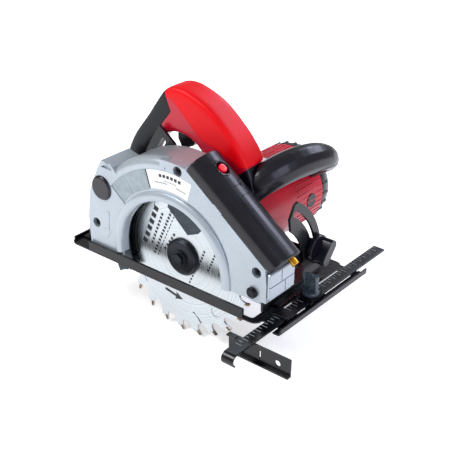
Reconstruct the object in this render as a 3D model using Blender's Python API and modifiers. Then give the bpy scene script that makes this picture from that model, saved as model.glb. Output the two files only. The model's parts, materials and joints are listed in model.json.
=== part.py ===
"""Circular saw with a laser guide, tilting base and rip fence.

Every size is in millimetres and is turned to metres where a mesh is made. Saw coordinates start at the
blade's centre: X forward, Y towards the motor, Z up. The world origin is the centre of the base's sole.
"""
import math

import bmesh
import bpy
from mathutils import Matrix, Vector

MM = 0.001
GAP = 0.3                       # left between two pieces that touch

# Blade and cut
BLADE_R = 92.5
BLADE_T = 2.2
TEETH = 24
TOOTH_PHASE = 225.27            # angle of one tooth tip, seen from the blade's side
TOOTH_DEPTH = 14.5
CUT_DEPTH = 68.0                # blade below the sole at full depth
SPINDLE_R = 8.0
FLANGE_R = 21.0
OUTER_FLANGE_T = 5.0
INNER_FLANGE_T = 4.6

# Gears: straight teeth, the pinion is cut into the armature shaft
MODULE = 1.5
GEAR_TEETH = 40
PINION_TEETH = 9
GEAR_W = 12.0
BACKLASH = 0.35
MOTOR_DIRECTION = 62.4          # angle from the spindle up to the motor's axis

# Guards
LOWER_GUARD_R = BLADE_R + 6.5
GUARD_R = BLADE_R + 24.0
WINDOW_R = 70.0
WALL = 2.5
GUARD_RIGHT = -22.0             # outer face on the blade's side
GUARD_SPLIT = -12.0
GUARD_LEFT = 20.0
REAR_LEG_Z = -15.0
FRONT_LEG_Z = -1.6
LOWER_GUARD_HALF_W = 9.5
LOWER_GUARD_SHEET = 1.5
HUB_R = 20.0
ROLLER_R = 8.5
TIP_ANGLE = 208.0               # the lower guard's two ends when it is swung back
TAIL_ANGLE = 59.0

# Depth pivot, bevel axis and what they carry
PIVOT_X = LOWER_GUARD_R + 10.0
PIVOT_Z = 9.0
DEPTH_SWING = 35.0
DEPTH_SLOT_R = 186.0
DEPTH_BAND = 13.5
DEPTH_REST = 182.5              # where the lever's bolt stands in the slot at full depth
BEVEL_Z = -1.0
BEVEL_SWING = 45.0
BEVEL_SLOT_R = 82.5
BEVEL_BAND = 12.5
BEVEL_REST = 11.7               # where the lock bolt stands in the slot at 0 degrees
SLOT_HALF_W = 3.3
PLATE_T = 3.0
PIN_R = 3.0
BOLT_CLEAR = 4.0
EAR_R = 5.8                     # round a bevel pin, low enough to pass the depth pivot bolt
BRACKET_LEFT = GUARD_LEFT + 1.0

# Base plate
SHEET = 1.6
BASE_LENGTH = 266.5
BASE_WIDTH = 156.3
BASE_X = -15.5                  # centre of the base, in saw coordinates
BASE_Y = 51.9
NOSE_REACH = 30.3               # how far the front lip stands ahead of the base
SLOT_RIGHT = -20.0
SLOT_LEFT = 48.5
FLANGE_H = 11.8
LEFT_FLANGE_H = 6.0             # low, so that it passes under the motor
SOLE_Z = CUT_DEPTH - BLADE_R
TOP_Z = SOLE_Z + SHEET
BASE_FRONT = BASE_X + BASE_LENGTH / 2
BASE_REAR = BASE_X - BASE_LENGTH / 2
BASE_RIGHT = BASE_Y - BASE_WIDTH / 2
BASE_LEFT = BASE_Y + BASE_WIDTH / 2

# Rip fence
BAR_W = 14.0
BAR_T = 2.0
BAR_X = BASE_FRONT + 14.7
BAR_Z = TOP_Z + 2.9
BAR_FAR = 180.0
BAR_NEAR = -84.0
FENCE_Y = -57.0
FENCE_L = 74.0
FENCE_H = 20.0
CLAMP_Y = 45.0

# Motor and gearbox
MOTOR_R = 46.2
GEARBOX_R = 47.0
GEAR_LOBE_R = 35.5
GEAR_LOBE_END = 39.5            # the low part stops here so that it clears the slot when tilted
GEARBOX_END = 52.0
HOUSING_END = 164.0
CAP_END = 185.0
SHAFT_R = 4.6
LOCK_Y = 30.0
BRUSH_Y = 142.0

# Handles
HANDLE_Y = 45.0
HANDLE_W = 34.0
HANDLE_ROUND = 11.0
REAR_GRIP_T = 20.0
TOP_GRIP_T = 17.0
REAR_GRIP = (9, 35)             # first and last sample of the outer line under each grip
TOP_GRIP = (35, 58)
TRIGGER_X = -28.0
TRIGGER_TRAVEL = 5.0
SWITCH_Z = 127.0

CENTRES = MODULE * (GEAR_TEETH + PINION_TEETH) / 2
MOTOR_X = CENTRES * math.cos(math.radians(MOTOR_DIRECTION))
MOTOR_Z = CENTRES * math.sin(math.radians(MOTOR_DIRECTION))
GEAR_Y = GUARD_LEFT + 4.0
FRAMES = {}


# ---------------------------------------------------------------- scene and helpers
def clear_scene():
    for item in list(bpy.data.objects):
        bpy.data.objects.remove(item, do_unlink=True)


def collection(name):
    found = bpy.data.collections.new(name)
    bpy.context.scene.collection.children.link(found)
    return found


def material(name, colour, roughness, metallic=0.0):
    made = bpy.data.materials.new(name)
    made.use_nodes = True
    shader = made.node_tree.nodes["Principled BSDF"]
    shader.inputs["Base Color"].default_value = (*colour, 1.0)
    shader.inputs["Roughness"].default_value = roughness
    shader.inputs["Metallic"].default_value = metallic
    return made


def frame(name, place, parent=None):
    """An empty on a joint's axis; the pieces of one moving body hang on it."""
    empty = bpy.data.objects.new(name, None)
    empty.empty_display_size = 10 * MM
    PARTS.objects.link(empty)
    place = Vector(place)
    start = FRAMES[parent][1] if parent else Vector((BASE_X, BASE_Y, SOLE_Z))
    empty.location = (place - start) * MM
    if parent:
        empty.parent = FRAMES[parent][0]
    FRAMES[name] = (empty, place)


def add(piece, parent, paint, smooth=True):
    """Hang a piece, drawn in saw coordinates, on its body's empty."""
    empty, place = FRAMES[parent]
    piece.parent = empty
    piece.location = piece.location - place * MM
    piece.data.materials.clear()
    piece.data.materials.append(paint)
    if smooth:
        piece.data.shade_smooth()
        piece.data.set_sharp_from_angle(angle=math.radians(35))
    return piece


def mesh_object(name, mesh):
    piece = bpy.data.objects.new(name, mesh)
    PARTS.objects.link(piece)
    return piece


def close(mesh):
    """Weld loose caps and turn every face outward."""
    shape = bmesh.new()
    shape.from_mesh(mesh)
    bmesh.ops.remove_doubles(shape, verts=shape.verts, dist=1e-6)
    bmesh.ops.recalc_face_normals(shape, faces=shape.faces)
    shape.to_mesh(mesh)
    shape.free()


def baked(curve_object):
    """The evaluated mesh of a curve object, which is removed."""
    bpy.context.view_layer.update()
    graph = bpy.context.evaluated_depsgraph_get()
    mesh = bpy.data.meshes.new_from_object(curve_object.evaluated_get(graph))
    mesh.transform(curve_object.matrix_world)
    data = curve_object.data
    bpy.data.objects.remove(curve_object, do_unlink=True)
    bpy.data.curves.remove(data)
    close(mesh)
    return mesh


TURNS = {
    "X": Matrix(((0, 0, 1, 0), (1, 0, 0, 0), (0, 1, 0, 0), (0, 0, 0, 1))),
    "Y": Matrix(((1, 0, 0, 0), (0, 0, -1, 0), (0, 1, 0, 0), (0, 0, 0, 1))),
    "Z": Matrix.Identity(4),
}


def plate(name, loops, axis, low, high):
    """A flat piece from low to high along an axis; the first loop is its outline, the others are holes.

    Loops are (Y, Z) points along X, (X, Z) points along Y and (X, Y) points along Z.
    """
    curve = bpy.data.curves.new(name, "CURVE")
    curve.dimensions = "2D"
    curve.fill_mode = "BOTH"
    curve.extrude = (high - low) / 2 * MM
    for loop in loops:
        spline = curve.splines.new("POLY")
        spline.points.add(len(loop) - 1)
        for point, (u, v) in zip(spline.points, loop):
            point.co = (u * MM, v * MM, 0, 1)
        spline.use_cyclic_u = True
    holder = bpy.data.objects.new(name, curve)
    PARTS.objects.link(holder)
    mesh = baked(holder)
    middle = Vector((0, 0, 0))
    middle["XYZ".index(axis)] = (low + high) / 2 * MM
    mesh.transform(Matrix.Translation(middle) @ TURNS[axis])
    return mesh_object(name, mesh)


def turned(name, profile, axis, centre, segments=40):
    """A turned piece: (radius, place along the axis) points, down its outer side and back up inside."""
    shape = bmesh.new()
    points = [shape.verts.new((radius * MM, 0, place * MM)) for radius, place in profile]
    for first, second in zip(points, points[1:]):
        shape.edges.new((first, second))
    if profile[0][0] > 0:
        shape.edges.new((points[-1], points[0]))
    mesh = bpy.data.meshes.new(name)
    shape.to_mesh(mesh)
    shape.free()
    piece = mesh_object(name, mesh)
    screw = piece.modifiers.new("turn", "SCREW")
    screw.steps = segments
    screw.render_steps = segments
    screw.use_merge_vertices = True
    screw.merge_threshold = 0.000001
    screw.use_smooth_shade = False
    turn = {"X": (0, 90, 0), "Y": (-90, 0, 0), "Z": (0, 0, 0)}[axis]
    piece.rotation_euler = [math.radians(angle) for angle in turn]
    piece.location = Vector(centre) * MM
    return piece


def rod(name, radius, axis, low, high, centre=(0, 0, 0), segments=24):
    """A plain round bar between two places along its axis."""
    length = (high - low) * MM
    shape = bmesh.new()
    bmesh.ops.create_cone(shape, cap_ends=True, segments=segments, radius1=radius * MM,
                          radius2=radius * MM, depth=length)
    mesh = bpy.data.meshes.new(name)
    shape.to_mesh(mesh)
    shape.free()
    place = Vector(centre)
    place["XYZ".index(axis)] = (low + high) / 2
    mesh.transform(Matrix.Translation(place * MM) @ TURNS[axis])
    return mesh_object(name, mesh)


def block(name, low, high, bevel=0.0):
    """A box between two corners, with its edges rounded by bevel."""
    shape = bmesh.new()
    bmesh.ops.create_cube(shape, size=1.0)
    size = Vector(high) - Vector(low)
    middle = (Vector(high) + Vector(low)) / 2
    bmesh.ops.scale(shape, vec=size * MM, verts=shape.verts)
    bmesh.ops.translate(shape, vec=middle * MM, verts=shape.verts)
    mesh = bpy.data.meshes.new(name)
    shape.to_mesh(mesh)
    shape.free()
    piece = mesh_object(name, mesh)
    if bevel:
        rounded(piece, bevel)
    return piece


def rounded(piece, width, segments=2, angle=50):
    bevel = piece.modifiers.new("round", "BEVEL")
    bevel.width = width * MM
    bevel.segments = segments
    bevel.limit_method = "ANGLE"
    bevel.angle_limit = math.radians(angle)
    return piece


def combine(piece, tool, operation):
    """Join a tool to a piece or cut it away; the tool is kept as a hidden guide."""
    for home in list(tool.users_collection):
        home.objects.unlink(tool)
    CUTTERS.objects.link(tool)
    tool.parent = piece
    tool.matrix_parent_inverse = piece.matrix_basis.inverted()
    tool.hide_render = True
    tool.display_type = "WIRE"
    step = piece.modifiers.new(operation.lower(), "BOOLEAN")
    step.operation = operation
    step.object = tool
    return piece


def cut(piece, *tools):
    for tool in tools:
        combine(piece, tool, "DIFFERENCE")
    return piece


def join(piece, *tools):
    for tool in tools:
        combine(piece, tool, "UNION")
    return piece


# ---------------------------------------------------------------- outlines
def polar(radius, angle, centre=(0, 0)):
    turn = math.radians(angle)
    return (centre[0] + radius * math.cos(turn), centre[1] + radius * math.sin(turn))


def arc(radius, start, end, centre=(0, 0), steps=12):
    return [polar(radius, start + (end - start) * i / steps, centre) for i in range(steps + 1)]


def circle(radius, centre=(0, 0), steps=32):
    return [polar(radius, 360 * i / steps, centre) for i in range(steps)]


def rectangle(low, high, corner=0.0):
    """A rectangle between two corners, with quarter-round corners."""
    if not corner:
        return [low, (high[0], low[1]), high, (low[0], high[1])]
    turns = [((high[0] - corner, low[1] + corner), -90), ((high[0] - corner, high[1] - corner), 0),
             ((low[0] + corner, high[1] - corner), 90), ((low[0] + corner, low[1] + corner), 180)]
    points = []
    for centre, start in turns:
        points += arc(corner, start, start + 90, centre, 4)
    return points


def band(inner, outer, start, end, centre=(0, 0), steps=16):
    """A piece of a ring between two angles."""
    return arc(outer, start, end, centre, steps) + arc(inner, end, start, centre, steps)


def curved_slot(radius, half_width, start, end, centre=(0, 0)):
    """A slot along an arc, with round ends."""
    outer = arc(radius + half_width, start, end, centre, 12)
    far = arc(half_width, end, end + 180, polar(radius, end, centre), 6)[1:-1]
    inner = arc(radius - half_width, end, start, centre, 12)
    near = arc(half_width, start + 180, start + 360, polar(radius, start, centre), 6)[1:-1]
    return outer + far + inner + near


def smooth(points, steps=4):
    """A soft line through the points (Catmull-Rom), its ends kept."""
    ends = [points[0]] + list(points) + [points[-1]]
    line = []
    for a, b, c, d in zip(ends, ends[1:], ends[2:], ends[3:]):
        for i in range(steps):
            t = i / steps
            line.append(tuple(
                0.5 * (2 * q + (r - p) * t + (2 * p - 5 * q + 4 * r - s) * t ** 2
                       + (3 * q - p - 3 * r + s) * t ** 3)
                for p, q, r, s in zip(a, b, c, d)))
    return line + [tuple(points[-1])]


def inset(points, distance, closed=False):
    """The line moved to its right-hand side (inward on a line drawn clockwise)."""
    moved = []
    count = len(points)
    for i, point in enumerate(points):
        before = points[i - 1] if (i or closed) else points[i]
        after = points[(i + 1) % count] if (i < count - 1 or closed) else points[i]
        along = Vector(after) - Vector(before)
        along.normalize()
        if before != point and after != point:
            first = (Vector(point) - Vector(before)).normalized()
            stretch = 1 / max(0.5, abs(first.dot(along)))
        else:
            stretch = 1.0
        moved.append((point[0] + along[1] * distance * stretch, point[1] - along[0] * distance * stretch))
    return moved


def hull(points):
    """The convex outline around a set of points, counter-clockwise."""
    points = sorted(set((round(x, 5), round(y, 5)) for x, y in points))
    halves = []
    for row in (points, points[::-1]):
        half = []
        for point in row:
            while len(half) > 1 and ((half[-1][0] - half[-2][0]) * (point[1] - half[-2][1])
                                     - (half[-1][1] - half[-2][1]) * (point[0] - half[-2][0])) <= 0:
                half.pop()
            half.append(point)
        halves += half[:-1]
    return halves


def gear_outline(teeth, tooth_at, backlash):
    """A straight-toothed gear's outline with one tooth centred on an angle."""
    pitch = MODULE * teeth / 2
    outer = pitch + MODULE * 0.95
    root = pitch - MODULE * 1.2
    step = 360 / teeth
    thin = math.degrees(backlash / 2 / pitch)
    half_root, half_pitch, half_tip = 0.33 * step - thin, 0.25 * step - thin, 0.12 * step - thin / 2
    points = []
    for i in range(teeth):
        middle = tooth_at + i * step
        points += [polar(root, middle - half_root), polar(pitch, middle - half_pitch),
                   polar(outer, middle - half_tip), polar(outer, middle + half_tip),
                   polar(pitch, middle + half_pitch), polar(root, middle + half_root)]
    return points


# ---------------------------------------------------------------- blade and spindle
def blade_outline():
    """Hooked teeth that lean forward in the turning direction, with round gullets."""
    profile = [(0, 0), (-1.6, 0.48), (-1.2, 0.83), (1.2, 1.0), (4.0, 0.95), (6.4, 0.72), (8.6, 0.28),
               (11.8, 0.09)]
    points = []
    for tooth in range(TEETH):
        tip = TOOTH_PHASE + tooth * 360 / TEETH
        points += [polar(BLADE_R - TOOTH_DEPTH * deep, tip + turn * 24 / TEETH) for turn, deep in profile]
    return points


def make_blade():
    bore = SPINDLE_R + GAP
    half = BLADE_T / 2
    blade = plate("blade", [blade_outline(), circle(bore)], "Y", -half, half)
    add(blade, "blade_axis", STEEL, smooth=False)
    face = -half - GAP
    outer = turned("outer_flange", [(bore, face), (FLANGE_R, face), (FLANGE_R, face - 2.5),
                                    (FLANGE_R - 3, face - OUTER_FLANGE_T), (bore, face - OUTER_FLANGE_T)],
                   "Y", (0, 0, 0))
    add(outer, "blade_axis", DARK_STEEL)
    face = half + GAP
    inner = turned("inner_flange", [(bore, face + INNER_FLANGE_T), (FLANGE_R - 1, face + INNER_FLANGE_T),
                                    (FLANGE_R - 1, face), (bore, face)], "Y", (0, 0, 0))
    add(inner, "blade_axis", DARK_STEEL)


BOLT_FACE = -BLADE_T / 2 - GAP - OUTER_FLANGE_T - GAP
SPINDLE_NEAR = BOLT_FACE + 1.5
SPINDLE_FAR = 46.0


def make_spindle():
    thread = 4.1
    depth = SPINDLE_NEAR + 20
    spindle = turned("spindle", [(0, SPINDLE_FAR), (6, SPINDLE_FAR), (6, 39.5), (SPINDLE_R, 39.5),
                                 (SPINDLE_R, SPINDLE_NEAR), (thread, SPINDLE_NEAR), (thread, depth), (0, depth)],
                     "Y", (0, 0, 0), 32)
    add(spindle, "blade_axis", STEEL)
    bolt = rod("blade_bolt", 7.5, "Y", BOLT_FACE - 5.5, BOLT_FACE - 1.2, segments=6)
    washer = rod("blade_bolt_washer", 9.5, "Y", BOLT_FACE - 1.6, BOLT_FACE)
    shank = rod("blade_bolt_shank", thread - GAP, "Y", BOLT_FACE - 0.5, depth - 2)
    join(bolt, washer, shank)
    add(bolt, "blade_axis", DARK_STEEL)
    tooth_gap = MOTOR_DIRECTION + 180 / GEAR_TEETH
    gear = plate("output_gear", [gear_outline(GEAR_TEETH, tooth_gap, BACKLASH), circle(SPINDLE_R + GAP)],
                 "Y", GEAR_Y, GEAR_Y + GEAR_W)
    add(gear, "blade_axis", DARK_STEEL, smooth=False)


# ---------------------------------------------------------------- armature
def make_armature():
    centre = (MOTOR_X, 0, MOTOR_Z)
    shaft_end = CAP_END - 6
    shaft = rod("armature_shaft", SHAFT_R, "Y", GEAR_Y + GEAR_W, shaft_end, centre)
    teeth = [(x + MOTOR_X, z + MOTOR_Z) for x, z in
             gear_outline(PINION_TEETH, MOTOR_DIRECTION + 180, BACKLASH)]
    pinion = plate("pinion_teeth", [teeth], "Y", GEAR_Y - 0.5, GEAR_Y + GEAR_W + 1)
    join(shaft, pinion)
    add(shaft, "armature_axis", STEEL, smooth=False)
    bore = SHAFT_R + GAP
    core = turned("armature_core", [(bore, 126), (25, 126), (25, 76), (bore, 76)], "Y", centre, 32)
    add(core, "armature_axis", COPPER)
    commutator = turned("commutator", [(bore, 150), (12, 150), (12, 134), (bore, 134)], "Y", centre, 24)
    add(commutator, "armature_axis", COPPER)
    make_fan(centre)


def make_fan(centre):
    """A radial fan: a thin disc with straight blades on its motor side."""
    disc = turned("cooling_fan", [(SHAFT_R + GAP, 60), (37, 60), (37, 58), (SHAFT_R + GAP, 58)],
                  "Y", centre, 32)
    hub = turned("fan_hub", [(SHAFT_R + GAP, 69), (10, 69), (10, 58.5), (SHAFT_R + GAP, 58.5)], "Y", centre, 24)
    join(disc, hub)
    for i in range(9):
        vane = block("fan_vane", (14, 59, -0.8), (35, 68, 0.8))
        vane.data.transform(Matrix.Rotation(math.radians(40 * i), 4, "Y"))
        vane.location = Vector(centre) * MM
        join(disc, vane)
    add(disc, "armature_axis", BLACK_PLASTIC)


def make_bearings():
    """Each ball bearing is one ring: bore, outside, and its two faces along Y."""
    motor = (MOTOR_X, 0, MOTOR_Z)
    rings = [("spindle_bearing_front", (0, 0, 0), SPINDLE_R, 16.0, 10.3, 17.0),
             ("spindle_bearing_rear", (0, 0, 0), 6.0, 13.0, 40.5, 46.5),
             ("armature_bearing_front", motor, SHAFT_R, 13.0, 40.5, 47.0),
             ("armature_bearing_rear", motor, SHAFT_R, 9.5, 169.0, 176.0)]
    for name, centre, bore, outside, low, high in rings:
        bore += GAP
        middle = (bore + outside) / 2
        ring = turned(name, [(bore, high), (middle - 1, high), (middle - 1, high - 0.8), (middle + 1, high - 0.8),
                             (middle + 1, high), (outside, high), (outside, low), (bore, low)], "Y", centre, 32)
        add(ring, "saw_body", STEEL)


# ---------------------------------------------------------------- guards
def guard_top():
    """The upper guard's outer line, clockwise from the rear foot over the top to the front foot."""
    back = -GUARD_R - 1.5
    heel = [(back, REAR_LEG_Z), (back - 2, 17), (back + 2.5, 50), (back + 15.5, 79.5), (back + 22.3, 90.8),
            (back + 31, 88.5)]
    crown = arc(GUARD_R, 132, 79.2, steps=16)
    front = [(PIVOT_X + 14, 39), (PIVOT_X + 16, 21), (PIVOT_X + 16, FRONT_LEG_Z)]
    return heel + crown + front


def guard_feet():
    """The lower ends: front foot, then a step inside the window circle, then the rear foot."""
    return [(WINDOW_R - 10, FRONT_LEG_Z), (WINDOW_R - 10, REAR_LEG_Z)]


def toe_step():
    """Cut under the guard's nose, so that it clears the fence guide when the saw is tilted."""
    return block("toe_step", (PIVOT_X + 9.5, GUARD_RIGHT - 5, FRONT_LEG_Z - 5), (PIVOT_X + 20, GUARD_LEFT + 5, 1.6))


def guard_hollow():
    line = inset(guard_top(), WALL)
    return [(line[0][0], REAR_LEG_Z - 20)] + line[1:-1] + [(line[-1][0], REAR_LEG_Z - 20)]


def make_outer_guard():
    guard = plate("outer_guard", [guard_top() + guard_feet()], "Y", GUARD_RIGHT, GUARD_SPLIT)
    rounded(guard, 1.2)
    hollow = plate("outer_guard_hollow", [guard_hollow()], "Y", GUARD_RIGHT + WALL, GUARD_SPLIT + 5)
    window = rod("window", WINDOW_R, "Y", GUARD_RIGHT - 5, GUARD_SPLIT, segments=64)
    pivot = rod("pivot_hole", BOLT_CLEAR, "Y", GUARD_RIGHT - 5, GUARD_SPLIT + 5, (PIVOT_X, 0, PIVOT_Z))
    cut(guard, hollow, window, pivot, toe_step())
    for x, z in cover_screw_places():
        cut(guard, rod("screw_hole", 2.6, "Y", GUARD_RIGHT - 5, GUARD_SPLIT + 5, (x, 0, z), 16))
    cut(guard, rod("port_hole", 14 + GAP, "Y", GUARD_RIGHT - 5, GUARD_SPLIT + 5, port_place()))
    add(guard, "saw_body", SILVER)


def port_place():
    return (-GUARD_R + 19.5, 0, 58)


def cover_screw_places():
    return [(12, GUARD_R - 7.5), (-GUARD_R + 9, 13), (PIVOT_X + 3.7, 32.2)]


def make_cover_screws():
    """Three pan-head screws; each grips a post of the inner guard."""
    for i, (x, z) in enumerate(cover_screw_places()):
        head = turned(f"cover_screw_{i + 1}", [(0, GUARD_RIGHT - GAP), (4.6, GUARD_RIGHT - GAP),
                                               (4.6, GUARD_RIGHT - 1.2), (3.2, GUARD_RIGHT - 2.2),
                                               (0, GUARD_RIGHT - 2.2)], "Y", (x, 0, z), 16)
        shank = rod("screw_shank", 2.2, "Y", GUARD_RIGHT - 1, GUARD_SPLIT + 6, (x, 0, z), 12)
        join(head, shank)
        add(head, "saw_body", BLACK_STEEL)


def make_inner_guard():
    """Back half of the upper guard: rim, left wall and the boss that carries the spindle bearing."""
    near = GUARD_SPLIT + GAP
    guard = plate("inner_guard", [guard_top() + guard_feet()], "Y", near, GUARD_LEFT)
    rounded(guard, 1.5)
    cut(guard, plate("inner_guard_hollow", [guard_hollow()], "Y", near - 5, GUARD_LEFT - WALL))
    for x, z in cover_screw_places():
        join(guard, rod("screw_post", 5.5, "Y", near, GUARD_LEFT - 1, (x, 0, z), 16))
    join(guard, rod("bearing_boss", HUB_R, "Y", 7.0, GUARD_LEFT - 1, segments=32))
    for x, z in cover_screw_places():
        cut(guard, rod("screw_hole", 2.6, "Y", near - 5, GUARD_SPLIT + 9, (x, 0, z), 12))
    spindle_way = turned("spindle_way", [(0, GUARD_LEFT + 3), (16.3, GUARD_LEFT + 3), (16.3, 10), (SPINDLE_R + 1, 10),
                                         (SPINDLE_R + 1, 4), (0, 4)], "Y", (0, 0, 0), 32)
    pivot = rod("pivot_hole", BOLT_CLEAR, "Y", 0, GUARD_LEFT + 5, (PIVOT_X, 0, PIVOT_Z))
    notch = block("bracket_notch", (PIVOT_X - 14, GUARD_LEFT - WALL - 2, REAR_LEG_Z),
                  (PIVOT_X + 8, GUARD_LEFT + 3, 2.5))
    depth_bolt = rod("depth_bolt_hole", PIN_R + GAP, "Y", 5, GUARD_LEFT + 5, depth_bolt_place())
    cut(guard, spindle_way, pivot, notch, depth_bolt, toe_step())
    add(guard, "saw_body", SILVER)


def make_front_block():
    """Solid nose in front of the guard with a cross of grooves."""
    x = PIVOT_X + 16 + GAP
    nose = block("front_block", (x, GUARD_RIGHT + 0.5, 6.0), (x + 4, GUARD_LEFT - 0.5, 34.5))
    rounded(nose, 1.0, 1)
    cut(nose, block("groove_across", (x + 2.8, GUARD_RIGHT - 5, 19.5), (x + 8, GUARD_LEFT + 5, 20.7)),
        block("groove_high", (x + 2.8, -3, 20), (x + 8, -1.8, 40)),
        block("groove_low", (x + 2.8, 3, -5), (x + 8, 4.2, 20)))
    add(nose, "saw_body", SILVER, smooth=False)


def make_port_plug():
    """Round cap that closes the dust port on the guard's rear shoulder."""
    plug = turned("dust_port_plug", [(0, GUARD_RIGHT + 3), (14, GUARD_RIGHT + 3), (14, GUARD_RIGHT - 1),
                                     (9.5, GUARD_RIGHT - 3.6), (0, GUARD_RIGHT - 4.4)], "Y", port_place(), 32)
    add(plug, "saw_body", BLACK_PLASTIC)


def make_lower_guard():
    """Swinging guard, drawn swung back: a channel around the blade whose left wall turns on the boss."""
    outer = LOWER_GUARD_R
    half = LOWER_GUARD_HALF_W
    sheet = LOWER_GUARD_SHEET
    first, last = TAIL_ANGLE + 0.3, TIP_ANGLE - 0.3
    middle = outer - sheet / 2
    rim = plate("lower_guard", [band(outer - sheet, outer, TAIL_ANGLE, TIP_ANGLE, steps=36)],
                "Y", -half + 0.1, half - 0.1)
    right = plate("right_wall", [band(WINDOW_R + 2, middle, first, last, steps=36)], "Y", -half, -half + sheet)
    left_outline = arc(middle, first, last, steps=36) + arc(HUB_R + 8, last, first + 360, steps=16)[1:-1]
    left = plate("left_wall", [left_outline, circle(HUB_R + 2)], "Y", half - sheet, half)
    hub = turned("guard_hub", [(HUB_R + 0.5, half + 4), (HUB_R + 5, half + 4), (HUB_R + 5, half - 1),
                               (HUB_R + 0.5, half - 1)], "Y", (0, 0, 0), 32)
    join(rim, right, left, hub)
    tip = roller_place()
    cut(rim, rod("roller_pin_hole", PIN_R + GAP, "Y", -half - 5, 0, tip, 16))
    add(rim, "lower_guard_axis", DARK_STEEL)
    roller = rod("lower_guard_roller", ROLLER_R, "Y", -half + sheet + GAP, -BLADE_T / 2 - 0.8, tip)
    pin = rod("roller_pin", PIN_R, "Y", -half - 0.8, -3, tip, 16)
    join(roller, pin)
    add(roller, "lower_guard_axis", BLACK_PLASTIC)


def roller_place():
    x, z = polar(LOWER_GUARD_R - LOWER_GUARD_SHEET - ROLLER_R - 0.5, TIP_ANGLE - 5)
    return (x, 0, z)


def make_guard_spring():
    """Flat coil between the guard's hub and the left wall that swings the guard shut."""
    low = LOWER_GUARD_HALF_W + 4.6
    ring = turned("lower_guard_spring", [(HUB_R + 0.6, low + 2.6), (HUB_R + 3.2, low + 2.6),
                                         (HUB_R + 3.2, low), (HUB_R + 0.6, low)], "Y", (0, 0, 0), 32)
    add(ring, "saw_body", STEEL)


# ---------------------------------------------------------------- depth and bevel brackets
def depth_bolt_place():
    x, z = polar(DEPTH_SLOT_R, DEPTH_REST, (PIVOT_X, PIVOT_Z))
    return (x, 0, z)


TAB_X = BASE_REAR + 18.0


def make_depth_quadrant():
    """Slotted arc beside the guard, with a tab turned in to the rear bevel pin."""
    centre = (PIVOT_X, PIVOT_Z)
    top = DEPTH_REST - DEPTH_SWING - 4.3
    low, high = DEPTH_SLOT_R - DEPTH_BAND, DEPTH_SLOT_R + DEPTH_BAND
    left = BRACKET_LEFT
    sheet = band(low, high, top, 188, centre, 20)
    slot = curved_slot(DEPTH_SLOT_R, SLOT_HALF_W, DEPTH_REST - DEPTH_SWING - 1.2, DEPTH_REST + 1.2, centre)
    quadrant = plate("depth_quadrant", [sheet, slot], "Y", left, left + PLATE_T)
    foot = plate("quadrant_foot", [rectangle((TAB_X, -19), (PIVOT_X - high + 22, -12))], "Y", left, left + PLATE_T)
    tab_outline = arc(8, 90, 270, (0, BEVEL_Z), 8) + [(left + PLATE_T, -19), (left + PLATE_T, -8)]
    tab = plate("quadrant_tab", [tab_outline, circle(PIN_R + GAP, (0, BEVEL_Z), 16)], "X", TAB_X, TAB_X + PLATE_T)
    join(quadrant, foot, tab)
    add(quadrant, "bevel_axis", BLACK_STEEL)


FRAME_X = PIVOT_X - 6.0


def bevel_bolt(angle=BEVEL_REST):
    return polar(BEVEL_SLOT_R, angle, (0, BEVEL_Z))


def make_bevel_frame():
    """Cross plate behind the quadrant, with the lug that carries the depth pivot."""
    lock = bevel_bolt()
    left = BRACKET_LEFT
    arm = hull(circle(6.5, (0, BEVEL_Z), 16) + [(0, -9.5), (26, -9.5), (26, -3)])
    reach = hull([(left, -9.5), (left, -3)] + circle(9, lock, 16))
    cross = plate("bevel_frame", [arm, circle(PIN_R + GAP, (0, BEVEL_Z), 16)], "X", FRAME_X, FRAME_X + PLATE_T)
    rest = plate("frame_reach", [reach, circle(PIN_R + GAP, lock, 16)], "X", FRAME_X, FRAME_X + PLATE_T)
    lug = plate("pivot_lug", [hull(circle(9, (PIVOT_X, PIVOT_Z), 16) + [(FRAME_X, -9.5), (FRAME_X, PIVOT_Z),
                                                                        (PIVOT_X + 2, -9.5)]),
                              circle(BOLT_CLEAR, (PIVOT_X, PIVOT_Z), 16)], "Y", left, left + PLATE_T)
    join(cross, rest, lug)
    add(cross, "bevel_axis", BLACK_STEEL)


def make_depth_pivot_bolt():
    """Long bolt through both guard halves and the lug, its head on the guard's right face."""
    place = (PIVOT_X, 0, PIVOT_Z)
    bolt = rod("depth_pivot_bolt", BOLT_CLEAR - 0.5, "Y", GUARD_RIGHT - 3, BRACKET_LEFT + PLATE_T + 5, place, 18)
    head = turned("bolt_head", [(0, GUARD_RIGHT - 0.4), (6, GUARD_RIGHT - 0.4), (6, GUARD_RIGHT - 3),
                                (4, GUARD_RIGHT - 4.5), (0, GUARD_RIGHT - 4.5)], "Y", place, 20)
    nut = rod("bolt_nut", 6.5, "Y", BRACKET_LEFT + PLATE_T + 0.4, BRACKET_LEFT + PLATE_T + 4.5, place, 6)
    join(bolt, head, nut)
    add(bolt, "bevel_axis", BLACK_STEEL)


QUADRANT_X = FRAME_X + PLATE_T + 1.0


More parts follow.
